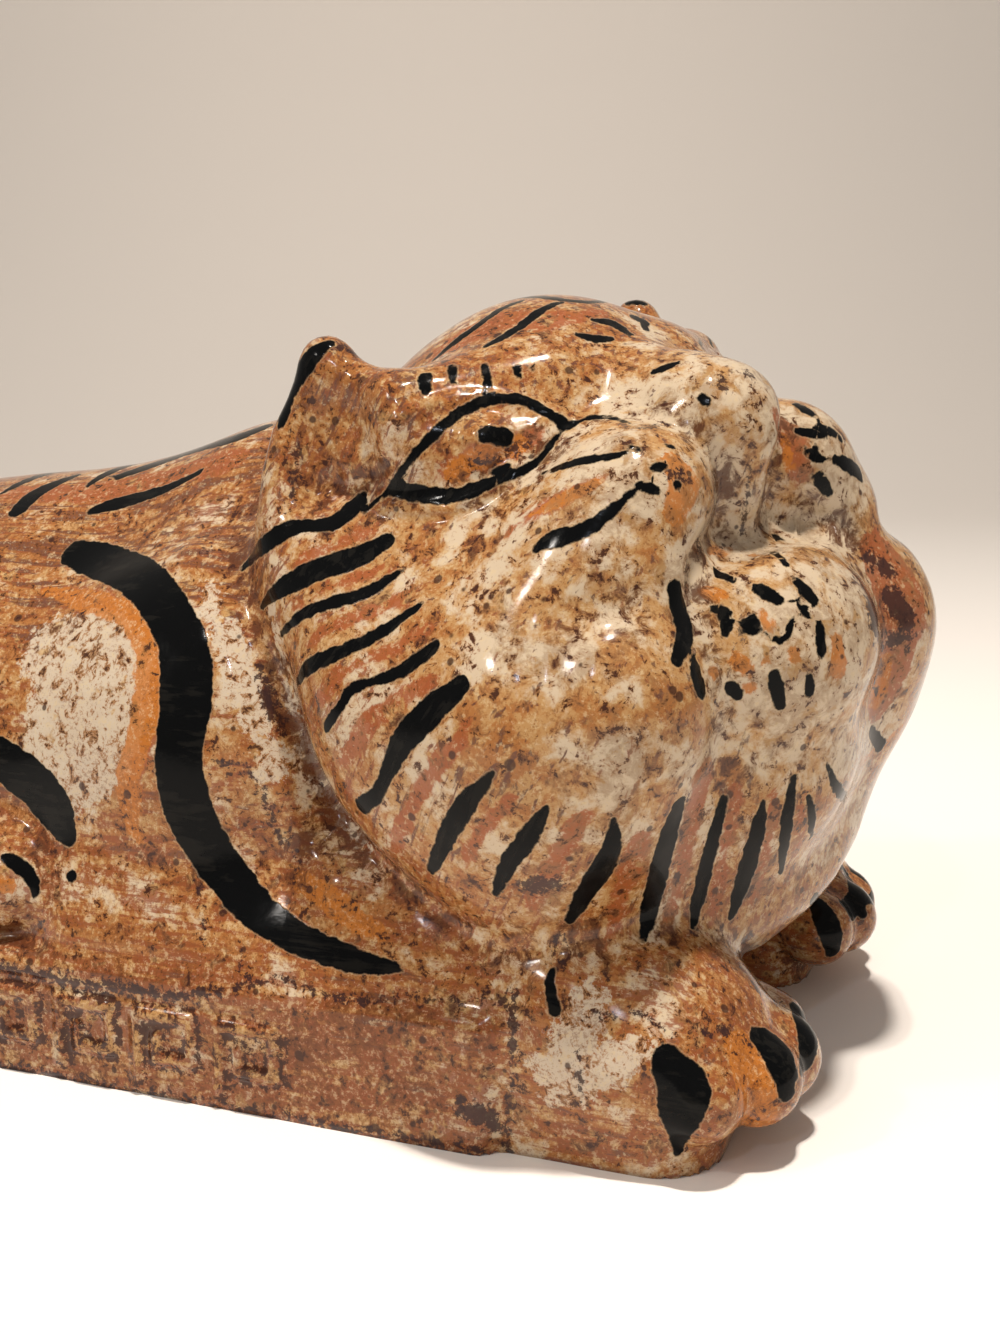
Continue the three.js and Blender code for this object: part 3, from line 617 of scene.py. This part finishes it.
plum = {
    "earTop": ("here", [(334, 345, 6), (350, 350, 9), (364, 358, 10), (376, 366, 5)]),
    "earFold": ("here", [(291, 436, 6), (297, 462, 8), (292, 492, 7), (286, 512, 4)]),
    "ledgeLine": ("body", [(-60, 958, 9), (14, 970, 10), (73, 982, 12), (126, 989, 11), (184, 996, 11),
                           (252, 985, 8), (291, 982, 6), (339, 999, 6), (420, 1000, 4), (505, 1000, 8)]),
    "cornerPatch": ("here", [(455, 1106, 12), (472, 1112, 22), (490, 1118, 22), (497, 1130, 14)]),
    "corner": ("body", [(512, 1000, 14), (513, 1050, 9), (510, 1100, 7), (508, 1150, 10)]),
    # plum glaze at the plinth's lower edge, laid dark as a painted contact shadow along its foot
    "bottomEdgeShade": ("body", [(-60, 1056, 9), (100, 1085, 8), (300, 1120, 8), (480, 1152, 9)]),
    "elbowLine": ("body", [(214, 764, 6), (232, 763, 7), (247, 768, 7), (262, 790, 8), (277, 832, 9),
                           (302, 866, 7)]),
    "ruffPatch": ("body", [(262, 668, 10), (268, 700, 15), (279, 732, 9)]),
    "drip1": ("body", [(198, 868, 4), (201, 905, 4), (206, 940, 6)]),
    "drip2": ("body", [(240, 945, 5), (243, 975, 5)]),
    "neckDot": ("here", [(208, 548, 8)]),
    "ruffDot": ("here", [(322, 781, 6)]),
    "chestSmear": ("body", [(518, 884, 8), (540, 886, 18), (565, 881, 8)]),
    "chestDot": ("body", [(558, 939, 8), (566, 941, 8)]),
    "chestLine": ("body", [(556, 960, 5), (562, 930, 4), (575, 915, 3)]),
    "knuckle1": ("body", [(585, 1019, 4), (633, 1013, 5), (652, 1020, 5), (668, 1037, 5)]),
    "knuckle2": ("body", [(690, 1030, 5), (725, 1032, 8), (748, 1040, 6)]),
    "wrist": ("body", [(577, 1050, 5), (580, 1090, 4), (585, 1125, 4)]),
    "noseSide": ("here", [(642, 428, 5), (652, 427, 9), (664, 424, 7)]),
    "nostril1": ("here", [(722, 385, 11)]),
    "nostril2": ("here", [(750, 373, 9), (751, 381, 9)]),
    "padSpot": ("here", [(672, 476, 12), (688, 480, 12)]),
    "farCheek1": ("here", [(860, 580, 16), (872, 600, 26), (874, 622, 22)]),
    "farCheek2": ("here", [(893, 600, 28), (908, 618, 22)]),
    "farCheek3": ("here", [(886, 642, 16), (910, 636, 16)]),
    "farCheek4": ("here", [(868, 558, 16), (890, 570, 20)]),
    "eyeUnder": ("head", [(468, 465, 5), (490, 460, 9), (512, 452, 10), (530, 440, 6)]),
    "philtrum": ("here", [(752, 470, 5), (747, 500, 7), (742, 530, 6)]),
}
marks = {"ink": ink, "rust": rust, "amber": amber, "cream": cream, "plum": plum}
markSpacing = 9                          # pixels between the points along a mark
reach = 14.0                             # how far from a mark its distance is kept, mm
leastShown = 0.4                         # least share of a stroke's breadth that counts as seen on a slope

# The flanks and back behind the photo's edge are finished in the same hand, with fewer strokes. Places,
# lengths and widths are in mm.
rear = {
    "bandStarts": (-58, -88, -118, -146), "bandTop": 110, "bandDrop": 54, "shorterDrop": 0.82,
    "bandWidth": 9.5, "sway": 9, "swayPace": 5.2, "lean": -10,
    "creamBeside": (13.0, 0, -6), "rustBeside": (7.5, 0, 0),
    "tailRings": ((-148, 45), (-134, 41), (-120, 40), (-106, 38), (-92, 41), (-78, 44)),    # along, height
    "ringReach": 7.0, "ringLean": 2, "ringWidth": 4.6,
    "spineTicks": 7, "tickStart": -160, "tickPitch": 24, "tickLean": 9, "tickLength": 34, "tickWidth": 5.2,
}


def mirroredHead(p):
    x, y, z = toHead(tuple(p.T))
    return np.stack(fromHead((x, -y, z)), 1)


def layInk(distance, path, halfWidth, aim=None):
    # Lowers each point's distance to the mark that follows path. aim keeps the way to the mark's middle
    # line and its half width, because those stay sharp between the points where the distance would blur.
    margin = reach + halfWidth.max()
    near = np.nonzero(((points > path.min(0) - margin) & (points < path.max(0) + margin)).all(1))[0]
    p = points[near]
    if len(path) == 1:
        path, halfWidth = np.repeat(path, 2, 0), np.repeat(halfWidth, 2)
    best = distance[near]
    for a, b, wa, wb in zip(path[:-1], path[1:], halfWidth[:-1], halfWidth[1:]):
        run = b - a
        t = np.clip((p - a) @ run / (run @ run + 1e-9), 0, 1)
        way, half = a + t[:, None] * run - p, wa + (wb - wa) * t
        gap = np.linalg.norm(way, axis=1) - half
        closer = gap < best
        best = np.where(closer, gap, best)
        if aim is not None:
            aim[near[closer]] = np.column_stack([way, half])[closer]
    distance[near] = best


def shownAcross(path):
    # how much of a stroke's breadth the camera sees, where the surface under it leans away
    along = np.gradient(path, axis=0) if len(path) > 1 else np.tile(toRight, (1, 1))
    across = np.cross(gradient(path, figure, 0.5), along)
    across = across / (np.linalg.norm(across, axis=1)[:, None] + 1e-9)
    look = path - eyePoint
    look = look / np.linalg.norm(look, axis=1)[:, None]
    shown = np.clip(np.sqrt(1 - (across * look).sum(1) ** 2), leastShown, 1)
    return np.convolve(np.pad(shown, 3, "edge"), np.ones(7) / 7, "valid")


painted = {}
inkAim = np.tile([reach, 0.0, 0.0, 0.0], (len(points), 1))
for kind, group in marks.items():
    distance = np.full(len(points), reach)
    aim = inkAim if kind == "ink" else None
    for side, knots in group.values():
        trail = smooth(knots, markSpacing) if len(knots) > 1 else np.array(knots, float)
        where, hit = fromPixels(trail[:, :2])
        where, width = where[hit], trail[hit, 2]
        if len(where) == 0:
            continue
        half = width / 2 * ((where - eyePoint) @ ahead) / focal / shownAcross(where)
        layInk(distance, where, half, aim)
        if side == "head":
            layInk(distance, mirroredHead(where), half, aim)
        if side == "body":
            layInk(distance, where * np.array([1, -1, 1]), half, aim)
    painted[kind] = distance


def fromSide(route, side):
    # a route of (x, z) points seen from the tiger's left (1) or right (-1)
    start = np.array([[x, side * 200.0, z] for x, z in route])
    hit, ok = march(start, np.tile([0.0, -side, 0.0], (len(route), 1)))
    return hit[ok]


for side in (-1, 1):
    for n, x in enumerate(rear["bandStarts"]):
        drop = rear["bandDrop"] * (1, rear["shorterDrop"])[n % 2]
        route = []
        for t in np.linspace(0, 1, 16):
            sway = rear["sway"] * math.sin(t * rear["swayPace"] + n)
            route.append((x + rear["lean"] * t + sway, rear["bandTop"] - drop * t))
        band = fromSide(route, side)
        half = rear["bandWidth"] / 2 * np.sin(np.linspace(0.25, 3.0, len(band))) ** 0.6    # thin at both ends
        if len(band) > 1:
            layInk(painted["ink"], band, half, inkAim)
            layInk(painted["cream"], band + np.array(rear["creamBeside"]), half * 0.9)
            layInk(painted["rust"], band + np.array(rear["rustBeside"]), half * 0.5)
for n in range(rear["spineTicks"]):
    x = rear["tickStart"] + n * rear["tickPitch"]
    steps = np.linspace(0, 1, 9)
    tick = np.array([[x + rear["tickLean"] * t, (t - 0.5) * rear["tickLength"], 0] for t in steps])
    hit, ok = march(tick + np.array([0, 0, 220.0]), np.tile([0.0, 0.0, -1.0], (len(tick), 1)))
    half = rear["tickWidth"] / 2 * np.sin(np.linspace(0.3, 2.9, ok.sum()))
    layInk(painted["ink"], hit[ok], half, inkAim)
for x, z in rear["tailRings"]:
    ring = fromSide([(x + rear["ringLean"] * t, z - rear["ringReach"] * t) for t in np.linspace(-1, 1, 7)], 1)
    if len(ring) > 1:
        layInk(painted["ink"], ring, np.full(len(ring), rear["ringWidth"] / 2), inkAim)
painted["inkHalf"] = inkAim[:, 3]
print("paint:", {k: int((v < 0).sum()) for k, v in painted.items()})

glaze = {
    # how rusty the wash is in each zone, over what it is everywhere
    "warmthAll": 0.05,
    "warmth": {
        "body": 0.95, "ruffSide": 1.0, "onCrown": 0.7, "onBack": 0.5, "onPlinth": 0.6, "beard": 0.9,
        "lowBody": 0.45, "mask": -0.6,
    },
    # The fine hollows follow glaze pooled in grooves; the broad hollows carry painted shade in the creases.
    "hollows": {"fineHollow": 2.2, "broadHollowShade": 7.0},    # how wide the hollows are in which glaze pools, mm
    # noise textures: size in mm, detail, roughness, warp; that of the brush is in lengths of its stroke
    "noises": {
        "cloud": (15.0, 5.0, 0.6, 0.4), "mottle": (6.0, 6.0, 0.68, 0.4), "vein": (3.2, 6.0, 0.72, 0.6),
        "curdle": (1.7, 4.0, 0.75, 0.3), "grain": (0.8, 3.0, 0.8, 0.0), "brush": (1.0, 4.0, 0.6, 0.4),
        "waver": (2.4, 4.0, 0.6, 0.0), "ripple": (7.0, 2.0, 0.5, 0.0),
    },
    "noiseSpread": 0.13,                 # how far one octave strays: 1 is then usual and 2 is rare
    "brushLength": 20.0, "brushWidth": 1.7,
    "cells": {"spot": 7.0, "speck": 1.9},            # spacing of the iron spots and of the fine specks, mm
    "body": "#c3b096",
    # each wash over the last: colour, what it is summed from, where it starts and is full, its cover
    "washes": {
        "ochre": ("#ae824c", {"cloud": 1.0, "mottle": 0.6, "vein": 0.2, "warmth": 1.1}, -1.2, 0.9, 0.9),
        "brown": ("#9b5f2e", {"mottle": 0.8, "cloud": 0.6, "vein": 0.4, "warmth": 1.0}, 0.3, 1.8, 0.8),
        "redBrush": ("#824024", {"brush": 0.8, "mottle": 0.5, "warmth": 1.2, "onPlinth": 0.4}, 1.2, 2.3, 0.8),
        "darkBrush": ("#553c34", {"brush": 1.0, "cloud": 0.4, "onBack": 1.6, "onCrown": 1.0}, 1.6, 2.6, 0.75),
        "rustMarks": ("#96502c", {"rust": -1.0, "mottle": 0.5}, -0.4, 0.5, 0.9),
        "creamMarks": ("#c4b5a0", {"cream": -0.8, "mottle": -0.6, "curdle": -0.4}, 0.0, 0.7, 0.9),
        "fretTops": ("#bd945c", {"fretTop": 2.2, "mottle": 0.8, "cloud": -0.3}, 1.2, 2.2, 0.8),
        "tanVeins": ("#9c5f2a", {"curdle": 0.5, "vein": 0.8, "warmth": 0.4}, 0.6, 1.9, 0.65),
        "amberMarks": ("#b56d2a", {"amber": -1.2, "mottle": 0.4}, -0.3, 0.4, 0.9),
        "amberVeins": ("#9c5524", {"amber": -0.2, "curdle": 0.8, "vein": 0.4}, 1.5, 2.2, 0.6),
        "pale": ("#cbb48c", {"curdle": -0.7, "grain": -0.4, "vein": -0.4, "warmth": 0.2}, 0.9, 2.3, 0.5),
        "tanFlecks": ("#96683a", {"vein": 0.8, "curdle": 0.5, "onCream": 1.2}, 1.3, 2.4, 0.75),
        "umber": ("#5a321c", {"curdle": 0.7, "vein": 0.5, "cloud": 0.3, "warmth": 0.7, "onPlinth": 0.8,
                              "onCream": -1.4, "onFace": -0.4}, 1.8, 3.0, 0.75),
        "grain": ("#7a4c2a", {"grain": 0.9, "cloud": 0.3, "warmth": 0.7, "onCream": -0.5}, 1.0, 2.2, 0.5),
        "faceVeins": ("#846646", {"mottle": 0.5, "vein": 0.5, "cloud": -0.4, "onFace": 1.2}, 0.6, 2.3, 0.5),
        "speck": ("#4f301d", {"speck": -9.0, "mottle": 0.5, "warmth": 0.3, "onCream": -0.6}, -1.0, -0.3, 0.6),
        "ironSpots": ("#3a2218", {"spot": -12.0, "cloud": 0.3}, -1.5, -0.9, 0.85),
        # dark glaze pooled in the fine hollows, and painted shade in the broad hollows and creases
        "poolsAndShade": ("#4f2b1b", {"broadHollowShade": 2.4, "fineHollow": 2.4, "vein": 0.6, "mottle": 0.4},
                  1.0, 2.6, 0.8),
        "fretPools": ("#3a1f17", {"fretPool": 2.4, "vein": 0.7, "curdle": 0.6}, 1.2, 2.0, 0.9),
        "plumMarks": ("#33201f", {"plum": -1.0, "curdle": 0.6}, -0.2, 0.6, 0.9),
        "besideInk": ("#c9ae86", {"edge": 1.0}, 0.4, 0.2, 0.25),
    },
    "charcoal": "#08090a",
    "thinInk": ("#191816", {"cloud": 0.7, "brush": 0.7}, 0.3, 1.6, 0.8),    # a wash over the charcoal
    "inkEdge": (0.25, -0.15), "edgeWaver": 0.12, "lineGuard": 0.2,    # mm
    "ior": 1.52, "shine": 0.32, "inkShine": 0.1, "roughness": (0.07, 0.16),
    "relief": {"ripple": 0.008, "grain": 0.001, "inked": 0.05},    # mm
}


def hollow(size):
    # where glaze pools and where painted shade darkens the hollows: at a hollow the surface a little way out
    # stands nearer than it would over a flat
    return np.clip((size - figure(tuple((points + normals * size).T))) / size, -1, 1)


def ramp(v, lo, hi):
    t = np.clip((v - lo) / (hi - lo), 0, 1)
    return t * t * (3 - 2 * t)


headSpace = np.stack(toHead(tuple(points.T)), 1)
outOfFace, besideNose, overCrown = headSpace.T
height = points[:, 2]
onHead = ramp(-headField(tuple(points.T), False), -7, -1)
onPlinth = ramp(tiger["plinthHeight"] + 3 - height, 0, 4) * (points[:, 0] < tiger["plinthFront"])
beard = onHead * ramp(-overCrown, 20, 32)
# Zones of the glaze, 0 outside and 1 inside. Each fades in between two places in mm, along the drawing's
# upward axis or the head's own axes.
zones = {
    "body": 1 - onHead,
    "ruffSide": onHead * (1 - ramp(outOfFace, 5, 34)) * (1 - 0.5 * ramp(overCrown, 4, 22)),
    "onCrown": onHead * ramp(overCrown - 0.7 * outOfFace, 18, 46),
    "onBack": (1 - onHead) * ramp(height, 84, 112),
    "onPlinth": onPlinth,
    "beard": beard,
    "lowBody": (1 - onHead) * (1 - onPlinth) * ramp(-height, -72, -40),
    "mask": onHead * ramp(outOfFace, 28, 50) * (1 - ramp(abs(besideNose), 22, 38)) * (1 - beard),
}
painted["warmth"] = sum((glaze["warmth"][zone] * part for zone, part in zones.items()), glaze["warmthAll"])
for zone in ("onPlinth", "onBack", "onCrown"):
    painted[zone] = zones[zone]
painted["onFace"] = onHead * ramp(outOfFace, 24, 44)
painted["onCream"] = ramp(-painted["cream"], -2, 2)
rib, faced = fretAt(tuple(points.T))
painted["fretTop"] = faced * ramp(-rib, -0.3, 0.8)                   # thin on top of the ribs
painted["fretPool"] = faced * np.exp(-((rib - 0.8) / 0.9) ** 2)      # thick in the corner beside them
# how hollow each point is, for the pooled glaze and the painted shade in the hollows
for name, size in glaze["hollows"].items():
    painted[name] = hollow(size)
# The wash was brushed on down the face and along the body.
downFace = np.stack([unit((0.55, 0, 0.84)), unit((0.84, 0, -0.55)), unit((0, 1, 0))], 1)
brushed = np.where(onHead[:, None] > 0.5, headSpace @ downFace, points)

print("skin: building the mesh")
low, high = [np.array(v) * 1000 for v in cadBox]
place = np.clip(points - np.array(tiger["origin"]), low, high)
mesh = bpy.data.meshes.new("tigerSkin")
mesh.vertices.add(len(place))
mesh.vertices.foreach_set("co", (place / 1000).ravel())
mesh.loops.add(quads.size)
mesh.loops.foreach_set("vertex_index", quads.ravel())
mesh.polygons.add(len(quads))
mesh.polygons.foreach_set("loop_start", np.arange(0, quads.size, 4))
mesh.update(calc_edges=True)
mesh.polygons.foreach_set("use_smooth", np.ones(len(quads), bool))
for name, values in painted.items():
    mesh.attributes.new(name, "FLOAT", "POINT").data.foreach_set("value", np.array(values, np.float32))
for name, values in (("brushed", brushed), ("inkAim", inkAim[:, :3])):
    flat = values.ravel().astype(np.float32)
    mesh.attributes.new(name, "FLOAT_VECTOR", "POINT").data.foreach_set("vector", flat)
onGround = np.abs(height[quads]).max(1) < 0.01
mesh.polygons.foreach_set("material_index", onGround.astype(np.int32))
mesh.normals_split_custom_set_from_vertices(normals)
figurine = bpy.data.objects.new("tigerFigurine", mesh)
bpy.context.scene.collection.objects.link(figurine)


def colour(code):
    # sRGB hex to Blender's linear colour
    values = [int(code[i:i + 2], 16) / 255 for i in (1, 3, 5)]
    return tuple(v / 12.92 if v <= 0.04045 else ((v + 0.055) / 1.055) ** 2.4 for v in values) + (1.0,)


def newTree(name):
    material = bpy.data.materials.new(name)
    material.use_nodes = True
    material.node_tree.nodes.clear()
    return material, material.node_tree


def add(tree, kind, settings, inputs):
    # one node with its settings, and each input linked or set
    node = tree.nodes.new(kind)
    for name, value in settings.items():
        setattr(node, name, value)
    for name, value in inputs.items():
        if isinstance(value, bpy.types.NodeSocket):
            tree.links.new(value, node.inputs[name])
        else:
            node.inputs[name].default_value = value
    return node


def layWash(tree, value, under, code, sources, start, full, cover):
    # sums a wash's sources and lays its colour over what is under it
    amount = 0.0
    for name, weight in sources.items():
        amount = add(tree, "ShaderNodeMath", {"operation": "MULTIPLY_ADD"}, {
            0: value[name], 1: weight, 2: amount}).outputs[0]
    part = add(tree, "ShaderNodeMapRange", {"interpolation_type": "SMOOTHSTEP"}, {
        "Value": amount, "From Min": start, "From Max": full, "To Min": 0.0, "To Max": cover}).outputs[0]
    return add(tree, "ShaderNodeMix", {"data_type": "RGBA"}, {
        0: part, 6: under, 7: colour(code)}).outputs[2]


def glazedStoneware():
    # Glazed stoneware over a brushed iron-oxide wash. The oxides have run and curdled, so the eye sees pale
    # clay through clouds of ochre and rust, and black brushwork, all under one glassy skin.
    g = glaze
    material, tree = newTree("glazedStonewareOxideWash")
    where = add(tree, "ShaderNodeTexCoord", {}, {}).outputs["Object"]
    mm = add(tree, "ShaderNodeVectorMath", {"operation": "SCALE"}, {
        "Vector": where, "Scale": 1000.0}).outputs[0]
    value = {}
    for name in painted:
        value[name] = add(tree, "ShaderNodeAttribute", {"attribute_name": name}, {}).outputs["Fac"]
    stroke = add(tree, "ShaderNodeAttribute", {"attribute_name": "brushed"}, {}).outputs["Vector"]
    stroke = add(tree, "ShaderNodeVectorMath", {"operation": "DIVIDE"}, {
        0: stroke, 1: (g["brushLength"], g["brushWidth"], g["brushWidth"])}).outputs[0]
    for name, (size, detail, rough, warp) in g["noises"].items():
        # stretched, so that its middle is 0 and its usual stray 1
        out = add(tree, "ShaderNodeTexNoise", {}, {
            "Vector": stroke if name == "brush" else mm, "Scale": 1 / size, "Detail": detail,
            "Roughness": rough, "Distortion": warp}).outputs["Fac"]
        octaves = rough ** np.arange(int(detail) + 1)
        gain = octaves.sum() / math.sqrt((octaves ** 2).sum()) / g["noiseSpread"]
        value[name] = add(tree, "ShaderNodeMath", {"operation": "MULTIPLY_ADD"}, {
            0: out, 1: gain, 2: -gain / 2}).outputs[0]
    for name, spacing in g["cells"].items():
        cell = add(tree, "ShaderNodeTexVoronoi", {}, {"Vector": mm, "Scale": 1 / spacing})
        value[name] = cell.outputs["Distance"]

    # The ink ends where the way to its middle line is as long as its half width. Between two strokes that way
    # turns over and would draw a false line, which the painted distance keeps out.
    aim = add(tree, "ShaderNodeAttribute", {"attribute_name": "inkAim"}, {}).outputs["Vector"]
    away = add(tree, "ShaderNodeVectorMath", {"operation": "LENGTH"}, {0: aim}).outputs["Value"]
    line = add(tree, "ShaderNodeMath", {"operation": "SUBTRACT"}, {0: away, 1: value["inkHalf"]}).outputs[0]
    rest = add(tree, "ShaderNodeMath", {"operation": "SUBTRACT"}, {
        0: value["ink"], 1: g["lineGuard"]}).outputs[0]
    line = add(tree, "ShaderNodeMath", {"operation": "MAXIMUM"}, {0: line, 1: rest}).outputs[0]
    value["edge"] = add(tree, "ShaderNodeMath", {"operation": "MULTIPLY_ADD"}, {
        0: value["waver"], 1: g["edgeWaver"], 2: line}).outputs[0]
    value["inked"] = add(tree, "ShaderNodeMapRange", {"interpolation_type": "SMOOTHSTEP"}, {
        "Value": value["edge"], "From Min": g["inkEdge"][0], "From Max": g["inkEdge"][1]}).outputs[0]
    skinColour = colour(g["body"])
    for wash in g["washes"].values():
        skinColour = layWash(tree, value, skinColour, *wash)
    pigment = layWash(tree, value, colour(g["charcoal"]), *g["thinInk"])
    skinColour = add(tree, "ShaderNodeMix", {"data_type": "RGBA"}, {
        0: value["inked"], 6: skinColour, 7: pigment}).outputs[2]

    rough = add(tree, "ShaderNodeMapRange", {}, {
        "Value": value["mottle"], "From Min": -2.0, "From Max": 2.0,
        "To Min": g["roughness"][0], "To Max": g["roughness"][1]}).outputs[0]
    relief = 0.0
    for name, depth in g["relief"].items():
        relief = add(tree, "ShaderNodeMath", {"operation": "MULTIPLY_ADD"}, {
            0: value[name], 1: depth, 2: relief}).outputs[0]
    bump = add(tree, "ShaderNodeBump", {}, {"Strength": 1.0, "Distance": 0.001, "Height": relief}).outputs[0]
    shine = add(tree, "ShaderNodeMapRange", {}, {
        "Value": value["inked"], "To Min": g["shine"], "To Max": g["inkShine"]}).outputs[0]
    shader = add(tree, "ShaderNodeBsdfPrincipled", {}, {
        "Base Color": skinColour, "Roughness": rough, "IOR": g["ior"], "Specular IOR Level": shine,
        "Normal": bump})
    add(tree, "ShaderNodeOutputMaterial", {}, {"Surface": shader.outputs[0]})
    return material


foot = {
    "clay": "#b9a283", "grain": 0.9, "grainStrength": 0.6, "grainDepth": 0.0002,    # grain in mm, depth in m
    "stain": "#8d7152", "stainSize": 25.0, "stainFrom": 0.4, "stainFull": 0.7,      # size in mm
    "roughness": 0.88,
}


def bareStoneware():
    # unglazed stoneware, ground flat: dry, sandy and slightly stained where it stood in the kiln
    material, tree = newTree("unglazedStonewareFoot")
    where = add(tree, "ShaderNodeTexCoord", {}, {}).outputs["Object"]
    sand = add(tree, "ShaderNodeTexNoise", {}, {
        "Vector": where, "Scale": 1000 / foot["grain"], "Detail": 3.0}).outputs["Fac"]
    stain = add(tree, "ShaderNodeTexNoise", {}, {
        "Vector": where, "Scale": 1000 / foot["stainSize"], "Detail": 5.0}).outputs["Fac"]
    part = add(tree, "ShaderNodeMapRange", {}, {
        "Value": stain, "From Min": foot["stainFrom"], "From Max": foot["stainFull"]}).outputs[0]
    mixed = add(tree, "ShaderNodeMix", {"data_type": "RGBA"}, {
        0: part, 6: colour(foot["clay"]), 7: colour(foot["stain"])}).outputs[2]
    bump = add(tree, "ShaderNodeBump", {}, {
        "Strength": foot["grainStrength"], "Distance": foot["grainDepth"], "Height": sand}).outputs[0]
    shader = add(tree, "ShaderNodeBsdfPrincipled", {}, {
        "Base Color": mixed, "Roughness": foot["roughness"], "Normal": bump})
    add(tree, "ShaderNodeOutputMaterial", {}, {"Surface": shader.outputs[0]})
    return material


mesh.materials.append(glazedStoneware())
mesh.materials.append(bareStoneware())
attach(figurine, "root")
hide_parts("tiger")
print("materials: glazed stoneware, unglazed foot")

# Stage: a pale paper sweep that rises far behind the figure, metres.
sweep = {
    "paper": "#f3eee8", "front": -2.6, "bend": 1.5, "rise": 1.6, "top": 3.2, "width": 4.0, "bendSteps": 12,
    "roughness": 0.85, "fibresPerMetre": 900.0, "fibreStrength": 0.15, "fibreDepth": 0.0002,
}


def paperSweep():
    s = sweep
    profile = [(s["front"], 0.0)]
    for step in range(s["bendSteps"] + 1):
        a = step / s["bendSteps"] * math.pi / 2
        profile.append((s["bend"] + s["rise"] * math.sin(a), s["rise"] * (1 - math.cos(a))))
    profile.append((s["bend"] + s["rise"], s["top"]))
    verts = []
    for away, up in profile:
        for across in (-s["width"], s["width"]):
            verts.append((across * math.cos(turnAngle) - away * math.sin(turnAngle),
                          across * math.sin(turnAngle) + away * math.cos(turnAngle), up))
    faces = [(2 * i, 2 * i + 1, 2 * i + 3, 2 * i + 2) for i in range(len(profile) - 1)]
    data = bpy.data.meshes.new("paperSweep")
    data.from_pydata(verts, [], faces)
    data.polygons.foreach_set("use_smooth", [True] * len(faces))
    paper = bpy.data.objects.new("paperSweep", data)
    bpy.context.scene.collection.objects.link(paper)
    # uncoated paper, rolled out: matte, so that floor and wall hold soft light and no mirror of the tiger
    material, tree = newTree("mattePaper")
    where = add(tree, "ShaderNodeTexCoord", {}, {}).outputs["Object"]
    fibre = add(tree, "ShaderNodeTexNoise", {}, {
        "Vector": where, "Scale": s["fibresPerMetre"], "Detail": 2.0}).outputs["Fac"]
    bump = add(tree, "ShaderNodeBump", {}, {
        "Strength": s["fibreStrength"], "Distance": s["fibreDepth"], "Height": fibre}).outputs[0]
    shader = add(tree, "ShaderNodeBsdfPrincipled", {}, {
        "Base Color": colour(s["paper"]), "Roughness": s["roughness"], "Normal": bump})
    add(tree, "ShaderNodeOutputMaterial", {}, {"Surface": shader.outputs[0]})
    data.materials.append(material)
    return paper


paperSweep()

# Lights: place, aim and size in metres, power in watts, colour, and whether it shows as a highlight.
lights = {
    "key": ((0.26, -0.17, 1.50), (0.05, 0.0, 0.05), 0.07, 18.0, "#fff6ec", False),
    "glint": ((0.20, -0.17, 1.50), (0.05, 0.0, 0.05), 0.03, 6.0, "#fff6ec", True),
    "front": ((-0.9, -1.5, 1.5), (0.05, 0.0, 0.08), 1.5, 10.0, "#fffaf4", False),
    "leftSpark": ((-0.75, -1.1, 1.15), (0.05, 0.0, 0.08), 0.09, 4.0, "#fff8f0", True),
    "spark": ((0.15, -1.2, 1.0), (0.1, 0.0, 0.1), 0.05, 1.2, "#e6efff", True),
    "wall": ((-0.5, 1.1, 1.7), (-1.2, 3.2, 0.7), 0.8, 9.0, "#ffeedd", False),
}
room = {"colour": "#f4ebe2", "strength": 0.33}    # light from all round
for name, (place, aim, size, power, code, shows) in lights.items():
    data = bpy.data.lights.new(name, "AREA")
    data.shape = "DISK"
    data.size, data.energy, data.color = size, power, colour(code)[:3]
    lamp = bpy.data.objects.new(name, data)
    lamp.location = place
    lamp.rotation_euler = (Vector(aim) - Vector(place)).to_track_quat("-Z", "Y").to_euler()
    lamp.visible_glossy = shows
    bpy.context.scene.collection.objects.link(lamp)
world = bpy.data.worlds.new("studioAir")
world.use_nodes = True
air = world.node_tree.nodes["Background"]
air.inputs["Color"].default_value = colour(room["colour"])
air.inputs["Strength"].default_value = room["strength"]
bpy.context.scene.world = world
bpy.context.scene.view_settings.view_transform = "Standard"

lens = bpy.data.cameras.new("camera")
lens.lens, lens.sensor_width, lens.sensor_fit = camera["lens"], camera["film"], "AUTO"
view = bpy.data.objects.new("camera", lens)
view.location = (np.array(camera["place"]) - np.array(tiger["origin"])) / 1000
view.rotation_euler = (math.radians(90 - camera["down"]), 0, math.radians(camera["turn"]))
bpy.context.scene.collection.objects.link(view)
bpy.context.scene.camera = view
print("stage: sweep, lights and camera")
